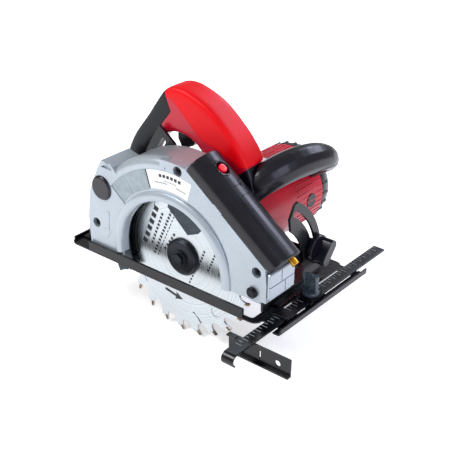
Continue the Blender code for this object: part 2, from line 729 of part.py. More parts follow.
def make_bevel_quadrant():
    """Upright slotted sector on the base, centred on the bevel axis."""
    centre = (0, BEVEL_Z)
    low, high = BEVEL_SLOT_R - BEVEL_BAND - 6, BEVEL_SLOT_R + BEVEL_BAND
    tip = BEVEL_REST + BEVEL_SWING + 5.5
    foot_z = TOP_Z + GAP
    start = math.degrees(math.asin((foot_z - BEVEL_Z) / high))
    inner_start = math.degrees(math.asin((foot_z + 8 - BEVEL_Z) / low))
    sector = arc(high, start, tip - 2.5, centre, 14) + [polar(high - 4, tip, centre), polar(low + 11, tip, centre)]
    sector += arc(low, tip - 8, inner_start, centre, 12)
    ear = arc(EAR_R, 30, 180, centre, 8) + [(-EAR_R, foot_z)]
    bridge = [(EAR_R + 2, foot_z + 8)]
    slot = curved_slot(BEVEL_SLOT_R, SLOT_HALF_W, BEVEL_REST - 2, BEVEL_REST + BEVEL_SWING + 1, centre)
    quadrant = plate("bevel_quadrant", [sector + bridge + ear, slot, circle(PIN_R + GAP, centre, 16)],
                     "X", QUADRANT_X, QUADRANT_X + PLATE_T)
    foot = block("quadrant_foot", (QUADRANT_X + 0.5, 12, foot_z), (BASE_FRONT - 0.5, high - 4, foot_z + 1.8))
    join(quadrant, foot)
    add(quadrant, "base", BLACK_STEEL)


def make_bevel_pins():
    front = rod("bevel_pin_front", PIN_R, "X", FRAME_X - 2, QUADRANT_X + PLATE_T + 2, (0, 0, BEVEL_Z), 16)
    add(front, "base", STEEL)
    rear = rod("bevel_pin_rear", PIN_R, "X", TAB_X - 7, TAB_X + PLATE_T + 2.5, (0, 0, BEVEL_Z), 16)
    add(rear, "base", STEEL)


def make_rear_bracket():
    """Bracket on the base behind the guard that holds the rear bevel pin."""
    foot_z = TOP_Z + GAP
    ear = arc(8, 0, 180, (0, BEVEL_Z), 10) + [(-10, foot_z), (28, foot_z), (28, foot_z + 4)]
    bracket = plate("rear_bracket", [ear, circle(PIN_R + GAP, (0, BEVEL_Z), 16)], "X", TAB_X - 4, TAB_X - 1)
    foot = block("bracket_foot", (TAB_X - 13, -9.8, foot_z), (TAB_X - 2, 27.8, foot_z + 1.8))
    join(bracket, foot)
    add(bracket, "base", BLACK_STEEL)


def knob_paddle(name, direction, length, thickness, low, high, axis, centre):
    """The raised finger bar of a wing knob, long along a direction in the knob's plane."""
    outline = [(u, v) for u, v in rectangle((-length / 2, -thickness / 2), (length / 2, thickness / 2),
                                            thickness * 0.45)]
    turn = math.radians(direction)
    outline = [(centre[0] + u * math.cos(turn) - v * math.sin(turn),
                centre[1] + u * math.sin(turn) + v * math.cos(turn)) for u, v in outline]
    return plate(name, [outline], axis, low, high)


def make_bevel_knob():
    y, z = bevel_bolt()
    x = QUADRANT_X + PLATE_T + GAP
    place = (0, y, z)
    knob = rod("bevel_knob", 16, "X", x + 1, x + 7, place, 32)
    rounded(knob, 1.5)
    paddle = knob_paddle("paddle", 51, 29, 11.5, x + 5, x + 20, "X", (y, z))
    rounded(paddle, 2.0)
    boss = rod("knob_boss", 9, "X", x, x + 3, place)
    bolt = rod("knob_bolt", PIN_R, "X", FRAME_X - 3, x + 4, place, 16)
    join(knob, paddle, boss, bolt)
    add(knob, "bevel_knob_axis", BLACK_PLASTIC)
    nut = plate("bevel_nut", [circle(6.2, (y, z), 6), circle(PIN_R + GAP, (y, z), 16)], "X",
                FRAME_X - 4, FRAME_X - GAP)
    add(nut, "bevel_axis", STEEL, smooth=False)


def make_depth_lever():
    """Lever behind the quadrant's slot; its bolt comes through the slot from the guard."""
    x, _, z = depth_bolt_place()
    near = BRACKET_LEFT + PLATE_T + GAP
    lever = rod("depth_lever", 8.5, "Y", near, near + 8, (x, 0, z), 24)
    arm = plate("lever_arm", [hull(circle(6.4, (x, z), 14) + circle(4, (x - 33, z - 5), 12))], "Y",
                near + 3, near + 9)
    inside = LOWER_GUARD_HALF_W + 5
    bolt = rod("lever_bolt", PIN_R, "Y", inside, near + 2, (x, 0, z), 16)
    join(lever, arm, bolt)
    add(lever, "depth_lever_axis", BLACK_PLASTIC)


# ---------------------------------------------------------------- base and fence
def make_base():
    """Pressed plate with side flanges, a rear lip, a wide slot and a rolled front lip."""
    nose = BASE_FRONT + NOSE_REACH
    bar_low, bar_high = BAR_X - BAR_W / 2, BAR_X + BAR_W / 2
    right, left = BASE_RIGHT, BASE_LEFT
    outline = rectangle((BASE_REAR, right), (BASE_FRONT, left), 9)
    slot = rectangle((-GUARD_R - 6, SLOT_RIGHT), (PIVOT_X - 1, SLOT_LEFT), 3)
    base = plate("base_plate", [outline, slot], "Z", SOLE_Z, TOP_Z)
    front = plate("front_web", [rectangle((BASE_FRONT - 3, -16.5), (nose - 4, left - 4)),
                                rectangle((BASE_FRONT + 1.5, 2), (bar_high - 2, 31), 2),
                                rectangle((BASE_FRONT + 1.5, 60), (bar_high - 2, left - 14), 2)],
                  "Z", SOLE_Z + 0.05, TOP_Z - 0.05)
    lip_profile = [(bar_high - 1.5, SOLE_Z), (nose - 3, SOLE_Z), (nose, SOLE_Z + 2.5), (nose, SOLE_Z + 8),
                   (nose - SHEET, SOLE_Z + 8), (nose - SHEET, SOLE_Z + 3.2), (nose - 3.6, TOP_Z),
                   (bar_high - 1.5, TOP_Z)]
    lip = plate("front_lip", [lip_profile], "Y", right - 1, left - 2)
    flange_right = block("right_flange", (-GUARD_R - 2, right + 0.1, SOLE_Z + 0.2),
                         (PIVOT_X - 9, right + 2.9, SOLE_Z + FLANGE_H), 0.8)
    flange_left = block("left_flange", (-GUARD_R - 2, left - 2.9, SOLE_Z + 0.2),
                        (PIVOT_X - 9, left - 0.1, SOLE_Z + LEFT_FLANGE_H), 0.8)
    rear = block("rear_lip", (BASE_REAR + 0.1, right + 6, SOLE_Z + 0.2), (BASE_REAR + 2.2, left - 6, TOP_Z + 3.6))
    join(base, front, lip, flange_right, flange_left, rear)
    add(base, "base", BLACK_STEEL, smooth=False)


def make_fence_guide(name, low, high, hole_r=0.0):
    """A strap over the fence bar on the front web."""
    foot_z = TOP_Z + GAP
    x_low, x_high = BAR_X - BAR_W / 2 - 3.5, BAR_X + BAR_W / 2 + 3.5
    top = BAR_Z + BAR_T + 2.2
    strap = block(name, (x_low, low, foot_z), (x_high, high, top))
    cut(strap, block("bar_way", (BAR_X - BAR_W / 2 - 0.5, low - 5, BAR_Z - 0.8),
                     (BAR_X + BAR_W / 2 + 0.5, high + 5, BAR_Z + BAR_T + 0.6)))
    if hole_r:
        cut(strap, rod("screw_way", hole_r, "Z", top - 4, top + 4, (BAR_X, (low + high) / 2, 0), 16))
    add(strap, "base", BLACK_STEEL, smooth=False)


def make_fence_knob():
    """Wing screw that presses on the fence bar."""
    top = BAR_Z + BAR_T + 2.2
    place = (BAR_X, CLAMP_Y, 0)
    knob = rod("fence_knob", 9, "Z", top + 0.4, top + 5, place)
    rounded(knob, 1.0)
    paddle = knob_paddle("paddle", 0, 17, 6, top + 4, top + 23, "Z", (BAR_X, CLAMP_Y))
    rounded(paddle, 1.5)
    screw = rod("clamp_screw", 2.5, "Z", BAR_Z + BAR_T + GAP, top + 2, place, 16)
    join(knob, paddle, screw)
    add(knob, "fence_knob_axis", CLEAR_GREY)


def make_fence():
    """Bar with a rolled end, and the guide plate welded under it."""
    low, high = BAR_X - BAR_W / 2, BAR_X + BAR_W / 2
    top = BAR_Z + BAR_T
    roll = (BAR_NEAR, top - 7)
    outer = arc(7, 90, 250, roll, 10)
    inner = arc(7 - BAR_T, 250, 90, roll, 10)
    profile = [(BAR_FAR, BAR_Z), (BAR_FAR, top)] + outer + inner
    bar = plate("fence_bar", [profile], "X", low, high)
    add(bar, "fence_axis", BLACK_STEEL)
    start = BAR_X - 25
    head = BAR_Z - GAP
    guide = block("fence_plate", (start, FENCE_Y, head - FENCE_H), (start + FENCE_L, FENCE_Y + 2, head))
    join(guide, block("top_turn", (start, FENCE_Y - 4, head - 2), (BAR_X - BAR_W, FENCE_Y + 1, head)),
         block("foot_turn", (start, FENCE_Y - 4, head - FENCE_H), (start + FENCE_L, FENCE_Y + 1, head - FENCE_H + 2)))
    cut(guide, rod("plate_hole", 3.2, "Y", FENCE_Y - 8, FENCE_Y + 8, (start + FENCE_L - 15, 0, head - FENCE_H / 2), 20),
        block("plate_slot", (BAR_X + 12, FENCE_Y - 8, head - 13), (BAR_X + 14, FENCE_Y + 8, head - 5)))
    add(guide, "fence_axis", BLACK_STEEL, smooth=False)


# ---------------------------------------------------------------- gearbox and motor
def gearbox_outline(low_r, extra=0.0):
    """A round lobe about the spindle joined to the round motor end."""
    return hull(circle(low_r + extra, steps=32) + circle(GEARBOX_R + extra, (MOTOR_X, MOTOR_Z), 48))


def make_gearbox():
    """Gear housing on the inner guard's left wall, with pockets for gear and bearings."""
    low = GUARD_LEFT + GAP
    motor = (MOTOR_X, 0, MOTOR_Z)
    box = plate("gear_housing", [gearbox_outline(GEAR_LOBE_R)], "Y", low, GEAR_LOBE_END)
    rounded(box, 1.5)
    back = plate("bearing_end", [gearbox_outline(18)], "Y", GEAR_LOBE_END - 1, GEARBOX_END)
    rounded(back, 1.5)
    join(box, back)
    pocket_end = GEAR_LOBE_END - WALL
    gear_r = MODULE * GEAR_TEETH / 2 + 2.8
    pocket_outline = hull(circle(gear_r, steps=32) + circle(13, (MOTOR_X, MOTOR_Z), 24))
    pocket = plate("gear_pocket", [pocket_outline], "Y", low - 5, pocket_end)
    cut(box, pocket, rod("rear_bearing_pocket", 13.3, "Y", pocket_end - 1, 46.8),
        rod("armature_bearing_pocket", 13.3, "Y", pocket_end - 1, 47.3, motor),
        rod("shaft_way", SHAFT_R + 1.2, "Y", 38, GEARBOX_END + 5, motor, 16),
        rod("lock_way", 4.3, "X", -60, -20, (0, LOCK_Y, 0), 16))
    add(box, "saw_body", BLACK_PLASTIC)


def make_spindle_lock():
    """Push button behind the gearbox whose pin stops the gear."""
    pin = rod("spindle_lock", 4.0, "X", -42, -36.5, (0, LOCK_Y, 0), 16)
    cap = rod("lock_cap", 7, "X", -46, -41, (0, LOCK_Y, 0), 20)
    rounded(cap, 1.0)
    join(pin, cap)
    add(pin, "spindle_lock_axis", RED_PLASTIC)


def make_motor():
    """Ribbed housing and vented end cap around the stator."""
    centre = (MOTOR_X, 0, MOTOR_Z)
    low = GEARBOX_END + GAP
    inside = MOTOR_R - WALL
    housing = turned("motor_housing", [(inside, HOUSING_END), (MOTOR_R, HOUSING_END), (MOTOR_R, low),
                                       (14, low), (14, low + WALL), (inside, low + WALL)], "Y", centre, 56)
    for side in (-1, 1):
        cut(housing, rod("brush_way", 8.3, "X", MOTOR_X + side * 52 - 14, MOTOR_X + side * 52 + 14,
                         (0, BRUSH_Y, MOTOR_Z), 20))
    add(housing, "saw_body", RED_PLASTIC)
    cap_low = HOUSING_END + GAP
    small = MOTOR_R - 3.6
    cap = turned("motor_end_cap", [(10, CAP_END), (small - 4, CAP_END), (small, CAP_END - 4), (MOTOR_R, cap_low + 6),
                                   (MOTOR_R, cap_low), (inside, cap_low), (inside - 1, cap_low + 6),
                                   (small - WALL, CAP_END - 5), (small - 6, CAP_END - WALL), (14, CAP_END - WALL),
                                   (14, 170), (9.9, 170), (9.9, CAP_END - 5), (4, CAP_END - 5), (4, CAP_END)],
                 "Y", centre, 56)
    for angle in range(20, 360, 40):
        slot = block("vent", (20, CAP_END - 9, -1.5), (37, CAP_END + 5, 1.5))
        slot.data.transform(Matrix.Rotation(math.radians(angle), 4, "Y"))
        slot.location = Vector(centre) * MM
        cut(cap, slot)
    add(cap, "saw_body", BLACK_PLASTIC)
    stator = turned("stator", [(27, 125), (inside - 0.6, 125), (inside - 0.6, 76), (27, 76)], "Y", centre, 40)
    add(stator, "saw_body", DARK_STEEL)


def make_brushes():
    for name, side in (("brush_holder_rear", -1), ("brush_holder_front", 1)):
        near, far = MOTOR_X + side * 13, MOTOR_X + side * (MOTOR_R + 0.5)
        low, high = min(near, far), max(near, far)
        holder = rod(name, 8, "X", low, high, (0, BRUSH_Y, MOTOR_Z), 20)
        add(holder, "saw_body", BLACK_PLASTIC)


def make_gland():
    """Cable gland in the rear grip's foot; no cord is fitted."""
    ring = turned("cable_gland", [(3.6, 15), (6, 15), (7.5, 3), (7.5, 0.8), (3.6, 0.8)], "X",
                  (-80, HANDLE_Y, 21), 20)
    ring.rotation_euler = (0, math.radians(-160), 0)
    add(ring, "saw_body", BLACK_PLASTIC)


# ---------------------------------------------------------------- handles
def handle_back():
    """Outer line of the closed handle, clockwise from its foot behind the motor to the front arm."""
    return smooth([(-30, 15), (-66, 17), (-93, 27), (-108, 44), (-111, 64), (-106, 84), (-95, 106), (-76, 131),
                   (-60, 154), (-49, 167), (-36, 171.5), (-20, 170), (8, 159.5), (31, 142), (47, 126), (58, 110),
                   (67, 92), (70, 74)])


def handle_hole():
    """The finger opening, clockwise."""
    return smooth([(-40, 34), (-64, 36), (-79, 45), (-86, 60), (-84, 78), (-76, 94), (-64, 108), (-50, 117),
                   (-34, 122), (-18, 120), (-4, 112), (6, 100), (10, 86), (2, 68), (-16, 50), (-28, 40)])


def handle_blank(name):
    """The whole closed handle with rounded edges, before it is shared out between its pieces."""
    half = HANDLE_W / 2
    outline = handle_back() + [(30, 60), (0, 40)]
    blank = plate(name, [outline, handle_hole()], "Y", HANDLE_Y - half, HANDLE_Y + half)
    return rounded(blank, HANDLE_ROUND, 3, 60)


def trimmed(points, distance):
    """The line with a little taken off both ends."""
    ends = [(points[0], points[1]), (points[-1], points[-2])]
    short = []
    for start, after in ends:
        step = Vector(after) - Vector(start)
        short.append(tuple(Vector(start) + step.normalized() * distance))
    return [short[0]] + points[1:-1] + [short[1]]


def grip_zone(name, span, thick, clear):
    """The block of space that a grip takes from the handle's outer side."""
    line = handle_back()
    first, last = span[0], span[1] + 1
    outside = trimmed(inset(line, -8)[first:last], clear)
    inside = trimmed(inset(line, thick - clear)[first:last], clear)
    return plate(name, [outside + inside[::-1]], "Y", HANDLE_Y - HANDLE_W, HANDLE_Y + HANDLE_W)


def make_handle():
    """Closed rear handle in three pieces: moulded shell, rear palm grip and soft top grip."""
    shell = handle_blank("main_handle")
    low, high = HANDLE_Y - HANDLE_W / 2, HANDLE_Y + HANDLE_W / 2
    gears = plate("gearbox_clearance", [gearbox_outline(GEAR_LOBE_R, GAP)], "Y", low - 5, high + 5)
    cut(shell, gears, aux_bar("aux_clearance", GAP), *switch_pocket(),
        grip_zone("rear_zone", REAR_GRIP, REAR_GRIP_T, 0.0), grip_zone("top_zone", TOP_GRIP, TOP_GRIP_T, 0.0))
    add(shell, "saw_body", RED_PLASTIC)
    for name, span, thick, paint in (("rear_grip", REAR_GRIP, REAR_GRIP_T, BLACK_RUBBER),
                                     ("top_grip", TOP_GRIP, TOP_GRIP_T, RED_GRIP)):
        grip = handle_blank(name)
        combine(grip, grip_zone(name + "_zone", span, thick, GAP), "INTERSECT")
        add(grip, "saw_body", paint)


def switch_pocket():
    """Room for the switch, the trigger under it and the lock-off button on the left side."""
    room = block("switch_room", (TRIGGER_X - 14, HANDLE_Y - 8, 100), (TRIGGER_X + 16, HANDLE_Y + 8, SWITCH_Z + 13))
    way = rod("button_way", 5, "Y", HANDLE_Y + 5, HANDLE_Y + 40, (TRIGGER_X, 0, SWITCH_Z + 7), 20)
    return room, way


def make_switch():
    body = block("switch_body", (TRIGGER_X - 13.5, HANDLE_Y - 7.5, SWITCH_Z),
                 (TRIGGER_X + 15.5, HANDLE_Y + 7.5, SWITCH_Z + 12.5))
    add(body, "saw_body", BLACK_PLASTIC, smooth=False)
    stem = SWITCH_Z - TRIGGER_TRAVEL - 0.5
    outline = [(TRIGGER_X - 13, stem), (TRIGGER_X - 13, stem - 10), (TRIGGER_X - 9, stem - 17),
               (TRIGGER_X - 2, stem - 18.5), (TRIGGER_X + 7, stem - 14), (TRIGGER_X + 13, stem - 7),
               (TRIGGER_X + 13, stem)]
    trigger = plate("trigger", [outline], "Y", HANDLE_Y - 7, HANDLE_Y + 7)
    rounded(trigger, 1.5)
    add(trigger, "trigger_axis", BLACK_PLASTIC)
    face = HANDLE_Y + HANDLE_W / 2
    button = rod("lock_off_button", 4.7, "Y", HANDLE_Y + 11, face + 3.5, (TRIGGER_X, 0, SWITCH_Z + 7), 20)
    add(button, "lock_off_axis", BLACK_PLASTIC)


def aux_bar(name, extra=0.0):
    """The front handle's bar along its route, fattened by extra when it is used as a cutter."""
    route = [(36, 38, 56, 13), (49, 40, 70, 14), (60, 46, 86, 16), (70, 62, 96, 17), (78, 86, 101, 17),
             (83, 112, 100, 16), (84, 132, 94, 14), (77, 147, 83, 12), (62, 152, 71, 10), (44, 152, 56, 9)]
    curve = bpy.data.curves.new(name, "CURVE")
    curve.dimensions = "3D"
    curve.bevel_depth = MM
    curve.bevel_resolution = 4
    curve.use_fill_caps = True
    points = smooth(route, 3)
    spline = curve.splines.new("POLY")
    spline.points.add(len(points) - 1)
    for point, (x, y, z, radius) in zip(spline.points, points):
        point.co = (x * MM, y * MM, z * MM, 1)
        point.radius = radius + extra
    holder = bpy.data.objects.new(name, curve)
    PARTS.objects.link(holder)
    return mesh_object(name, baked(holder))


def make_aux_handle():
    """Front handle: a thick bar from the gearbox out over the motor, curling back to the housing."""
    bar = aux_bar("aux_handle")
    centre = (MOTOR_X, 0, MOTOR_Z)
    cut(bar, rod("gearbox_clearance", GEARBOX_R + GAP, "Y", 0, GEARBOX_END + GAP, centre, 56),
        rod("housing_clearance", MOTOR_R + GAP, "Y", GEARBOX_END - 1, HOUSING_END, centre, 56),
        block("guard_clearance", (0, 0, 0), (120, GUARD_LEFT + 1, 150)))
    add(bar, "saw_body", BLACK_PLASTIC)


# ---------------------------------------------------------------- laser
def slope():
    """The guard's front slope: its upper and lower ends and its direction."""
    high = Vector(polar(GUARD_R, 79.2))
    low = Vector((PIVOT_X + 14, 39))
    return high, low, (low - high).normalized()


def make_laser():
    """Rounded housing along the guard's front slope, with a button well and a lens nozzle."""
    high, low, along = slope()
    length = (low - high).length
    middle_y = (GUARD_RIGHT + GUARD_LEFT) / 2
    half = (GUARD_LEFT - GUARD_RIGHT) / 2 - 0.4
    section = [(middle_y - half, GAP), (middle_y - half, 9)]
    section += [(middle_y + half * math.cos(math.radians(a)), 9 + 11 * math.sin(math.radians(a)))
                for a in range(165, 0, -15)]
    section += [(middle_y + half, 9), (middle_y + half, GAP)]
    body = plate("laser_body", [section], "X", 1, length + 6)
    rounded(body, 4, 2, 70)
    body.data.transform(slope_turn())
    add_tool = rod("button_well", 7, "Z", 13, 30, (22, middle_y + 2, 0), 24)
    add_tool.data.transform(slope_turn())
    stem_way = rod("button_way", 3.3, "Z", 6, 30, (22, middle_y + 2, 0), 16)
    stem_way.data.transform(slope_turn())
    lens_way = rod("lens_way", 4.3, "X", length - 8, length + 20, (0, middle_y + 8, 8.5), 20)
    lens_way.data.transform(slope_turn())
    cut(body, add_tool, stem_way, lens_way)
    add(body, "saw_body", BLACK_PLASTIC)
    nozzle = rod("laser_nozzle", 4.0, "X", length - 7.5, length + 13, (0, middle_y + 8, 8.5), 24)
    nozzle.data.transform(slope_turn())
    add(nozzle, "saw_body", BRASS)
    button = rod("laser_button", 5, "Z", 15, 20.5, (22, middle_y + 2, 0), 24)
    rounded(button, 1.5)
    stem = rod("button_stem", 2.8, "Z", 9, 16, (22, middle_y + 2, 0), 16)
    for shape in (button, stem):
        shape.data.transform(slope_turn())
    join(button, stem)
    add(button, "laser_button_axis", RED_PLASTIC)


def slope_turn():
    """Places a shape drawn along +X on the slope: X down the slope, Z out of it."""
    high, _, along = slope()
    turn = Matrix.Rotation(-math.atan2(along[1], along[0]), 4, "Y")
    return Matrix.Translation(Vector((high[0], 0, high[1])) * MM) @ turn


# ---------------------------------------------------------------- whole saw
def make_frames():
    """One empty for each body, on its joint's axis."""
    bx, _, bz = depth_bolt_place()
    y, z = bevel_bolt()
    high, _, along = slope()
    frame("base", (BASE_X, BASE_Y, SOLE_Z))
    frame("bevel_axis", (0, 0, BEVEL_Z), "base")
    frame("bevel_knob_axis", (QUADRANT_X, y, z), "bevel_axis")
    frame("saw_body", (PIVOT_X, 0, PIVOT_Z), "bevel_axis")
    frame("blade_axis", (0, 0, 0), "saw_body")
    frame("armature_axis", (MOTOR_X, 0, MOTOR_Z), "saw_body")
    frame("lower_guard_axis", (0, 0, 0), "saw_body")
    frame("depth_lever_axis", (bx, BRACKET_LEFT, bz), "saw_body")
    frame("trigger_axis", (TRIGGER_X, HANDLE_Y, SWITCH_Z), "saw_body")
    frame("lock_off_axis", (TRIGGER_X, HANDLE_Y, SWITCH_Z + 7), "saw_body")
    frame("spindle_lock_axis", (-36, LOCK_Y, 0), "saw_body")
    frame("laser_button_axis", (high[0] + along[0] * 22, 0, high[1] + along[1] * 22), "saw_body")
    frame("fence_axis", (BAR_X, 0, BAR_Z), "base")
    frame("fence_knob_axis", (BAR_X, CLAMP_Y, BAR_Z), "base")


def build():
    make_frames()
    make_base()
    make_bevel_quadrant()
    make_rear_bracket()
    make_bevel_pins()
    make_fence_guide("fence_guide", -8, 7)
    make_fence_guide("fence_clamp", CLAMP_Y - 11, CLAMP_Y + 11, 2.9)
    make_fence_knob()
    make_fence()
    make_bevel_frame()
    make_depth_quadrant()
    make_depth_pivot_bolt()
    make_bevel_knob()
    make_depth_lever()
    make_outer_guard()
    make_cover_screws()
    make_inner_guard()
    make_front_block()
    make_port_plug()
    make_lower_guard()
    make_guard_spring()
    make_blade()
    make_spindle()
    make_armature()
    make_bearings()
    make_gearbox()
    make_spindle_lock()
    make_motor()
    make_brushes()
    make_gland()
    make_handle()
    make_switch()
    make_aux_handle()
    make_laser()


clear_scene()
PARTS = collection("circular_saw")
CUTTERS = collection("cutters")
STEEL = material("bright_steel", (0.62, 0.63, 0.65), 0.3, 1.0)
DARK_STEEL = material("dark_steel", (0.12, 0.12, 0.13), 0.4, 1.0)
BLACK_STEEL = material("black_steel", (0.01, 0.01, 0.012), 0.3, 0.2)
SILVER = material("silver_paint", (0.62, 0.67, 0.70), 0.35, 0.3)
BLACK_PLASTIC = material("black_plastic", (0.015, 0.014, 0.022), 0.4)
BLACK_RUBBER = material("black_rubber", (0.02, 0.02, 0.025), 0.6)
RED_PLASTIC = material("red_plastic", (0.75, 0.01, 0.03), 0.35)
RED_GRIP = material("red_grip", (0.8, 0.005, 0.01), 0.5)
CLEAR_GREY = material("grey_plastic", (0.12, 0.15, 0.18), 0.3)
BRASS = material("brass", (0.8, 0.5, 0.12), 0.25, 1.0)
COPPER = material("copper", (0.6, 0.3, 0.18), 0.35, 1.0)
build()
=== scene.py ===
# %% [markdown]
# # Circular saw with a laser guide
# The mechanical model is already made and packed. This lesson dresses it: moulded shells, a cast guard, a
# ground blade and enamelled steel, each with a material named for what it is. Lengths are in millimetres
# from the blade's centre, X forward, Y towards the motor, Z up.

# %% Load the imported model
import json
import math

import bpy
from mathutils import Matrix, Vector

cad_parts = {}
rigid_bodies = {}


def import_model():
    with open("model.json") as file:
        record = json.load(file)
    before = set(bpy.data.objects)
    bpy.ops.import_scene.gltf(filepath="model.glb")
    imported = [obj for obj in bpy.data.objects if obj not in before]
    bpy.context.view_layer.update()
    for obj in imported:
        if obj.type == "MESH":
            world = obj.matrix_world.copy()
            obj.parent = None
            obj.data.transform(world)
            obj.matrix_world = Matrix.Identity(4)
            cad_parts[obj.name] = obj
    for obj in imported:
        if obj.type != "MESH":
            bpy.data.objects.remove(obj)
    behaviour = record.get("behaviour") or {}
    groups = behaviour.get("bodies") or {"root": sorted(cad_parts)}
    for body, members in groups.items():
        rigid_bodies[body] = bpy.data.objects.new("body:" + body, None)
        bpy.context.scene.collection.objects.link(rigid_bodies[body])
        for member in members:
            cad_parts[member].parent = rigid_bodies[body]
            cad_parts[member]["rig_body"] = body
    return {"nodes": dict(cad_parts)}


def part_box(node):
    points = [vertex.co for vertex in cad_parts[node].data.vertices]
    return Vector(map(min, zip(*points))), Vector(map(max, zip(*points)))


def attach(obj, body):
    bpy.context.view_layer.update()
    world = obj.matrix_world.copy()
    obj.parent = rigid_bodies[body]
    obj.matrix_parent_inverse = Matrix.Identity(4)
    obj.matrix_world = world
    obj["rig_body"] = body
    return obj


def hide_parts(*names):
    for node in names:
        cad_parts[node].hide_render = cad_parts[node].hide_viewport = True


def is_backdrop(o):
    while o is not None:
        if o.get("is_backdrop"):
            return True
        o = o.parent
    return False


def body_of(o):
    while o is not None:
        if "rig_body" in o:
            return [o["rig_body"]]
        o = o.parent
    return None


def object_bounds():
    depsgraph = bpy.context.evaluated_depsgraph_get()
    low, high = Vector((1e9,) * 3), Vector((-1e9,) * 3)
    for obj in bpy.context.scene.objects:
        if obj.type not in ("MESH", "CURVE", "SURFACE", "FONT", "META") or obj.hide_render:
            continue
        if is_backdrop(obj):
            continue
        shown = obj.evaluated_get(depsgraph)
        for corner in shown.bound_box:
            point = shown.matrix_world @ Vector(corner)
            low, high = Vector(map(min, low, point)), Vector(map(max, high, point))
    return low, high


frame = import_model()
low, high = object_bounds()
blade_low, blade_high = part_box("blade")
CENTRE = (Vector(blade_low) + Vector(blade_high)) / 2
MM = 0.001
print("nodes:", len(frame["nodes"]), "blade centre:", [round(v, 4) for v in CENTRE])


def at(x, y, z):
    """A point in metres from millimetres about the blade's centre."""
    return CENTRE + Vector((x, y, z)) * MM


# %% [markdown]
# ## Camera
# A tool is shown with a long lens from above its front corner, which keeps its proportions and still shows
# the top. The camera is turned by three unit vectors: where it looks, what lies across, and what is up.

# %% Camera
camera_data = bpy.data.cameras.new("camera")
camera_data.lens = 75.93
camera_data.sensor_width = 36.0
camera = bpy.data.objects.new("camera", camera_data)
bpy.context.scene.collection.objects.link(camera)
sight = Vector((-0.55109, 0.69040, -0.46866)).normalized()
across = Vector((0.77737, 0.62892, 0.01239)).normalized()
over = across.cross(sight).normalized()
camera.matrix_world = Matrix.Translation(at(595.3, -668.3, 506.2)) @ Matrix(
    (across, over, -sight)).transposed().to_4x4()
bpy.context.scene.camera = camera
print("camera is", round((camera.location - CENTRE).length, 3), "m from the blade")


# %% [markdown]
# ## Helpers for materials
# A finish is a Principled shader whose colour, gloss and relief come from a few noises. One function adds a
# node, and the rest name the steps that every finish repeats, so that a material reads like a recipe.

# %% Helpers for materials
def tone(code):
    """A screen colour such as '#c8d2da' turned to the linear values that shaders use."""
    values = [int(code[i:i + 2], 16) / 255 for i in (1, 3, 5)]
    return [v / 12.92 if v <= 0.04045 else ((v + 0.055) / 1.055) ** 2.4 for v in values] + [1.0]


def add_node(tree, kind, inputs=None, **settings):
    """Add a node, set its properties, and fill or link its inputs."""
    made = tree.nodes.new(kind)
    for key, value in settings.items():
        setattr(made, key, value)
    for key, value in (inputs or {}).items():
        if isinstance(value, bpy.types.NodeSocket):
            tree.links.new(value, made.inputs[key])
        else:
            made.inputs[key].default_value = value
    return made


def new_finish(name, **sockets):
    """A Principled material with plain socket values; returns it with its tree and shader."""
    made = bpy.data.materials.new(name)
    made.use_nodes = True
    tree = made.node_tree
    shader = tree.nodes["Principled BSDF"]
    for key, value in sockets.items():
        shader.inputs[key.replace("_", " ")].default_value = value
    return made, tree, shader


# %% Helpers for patterns
def object_point(tree, centre=(0, 0, 0)):
    """Object coordinates in metres, moved so that centre is zero."""
    place = add_node(tree, "ShaderNodeTexCoord")
    return add_node(tree, "ShaderNodeMapping", {"Vector": place.outputs["Object"],
                                                "Location": [-v for v in centre]}).outputs["Vector"]


def grain(tree, point, size_mm, detail=3.0):
    """Noise whose lumps are about size_mm across."""
    return add_node(tree, "ShaderNodeTexNoise", {"Vector": point, "Scale": 1000 / size_mm / 2,
                                                 "Detail": detail}).outputs["Fac"]


def remap(tree, value, low, high):
    """The middle of a noise's range stretched to run from low to high."""
    return add_node(tree, "ShaderNodeMapRange", {"Value": value, "From Min": 0.3, "From Max": 0.7,
                                                 "To Min": low, "To Max": high}).outputs["Result"]


def mixed(tree, factor, first, second):
    """Two colours mixed by a factor; the node's sockets 6 and 7 are its colours, output 2 the mix."""
    made = add_node(tree, "ShaderNodeMix", {0: factor}, data_type="RGBA")
    for index, value in ((6, first), (7, second)):
        if isinstance(value, bpy.types.NodeSocket):
            tree.links.new(value, made.inputs[index])
        else:
            made.inputs[index].default_value = value
    return made.outputs[2]


def raise_surface(tree, shader, height, depth_mm):
    """Relief of depth_mm from a height between 0 and 1."""
    bump = add_node(tree, "ShaderNodeBump", {"Height": height, "Distance": depth_mm * MM})
    tree.links.new(bump.outputs["Normal"], shader.inputs["Normal"])


# %% [markdown]
# ## Moulded plastics
# ABS shells come out of a spark-textured mould, so they are glossy with a grain of about 0.4 mm. The soft
# grips are a thermoplastic elastomer moulded over the shell: same colours, duller, with a finer grain. The
# black parts are glass-filled nylon, which is a little rougher and goes blue where it reflects the room.

# %% Plastics
def moulded(name, dark, light, roughness, grain_mm, depth_mm, coat=0.0, specular=0.35):
    """Plastic from a textured mould: a slight change of colour, a fine grain and uneven gloss."""
    made, tree, shader = new_finish(name, IOR=1.53, Specular_IOR_Level=specular, Coat_Weight=coat,
                                    Coat_Roughness=0.12)
    point = object_point(tree)
    cloud = grain(tree, point, 22)
    fine = grain(tree, point, grain_mm, 2.0)
    colour = mixed(tree, remap(tree, cloud, 0.0, 1.0), tone(dark), tone(light))
    tree.links.new(colour, shader.inputs["Base Color"])
    tree.links.new(remap(tree, cloud, roughness - 0.04, roughness + 0.05), shader.inputs["Roughness"])
    raise_surface(tree, shader, fine, depth_mm)
    return made


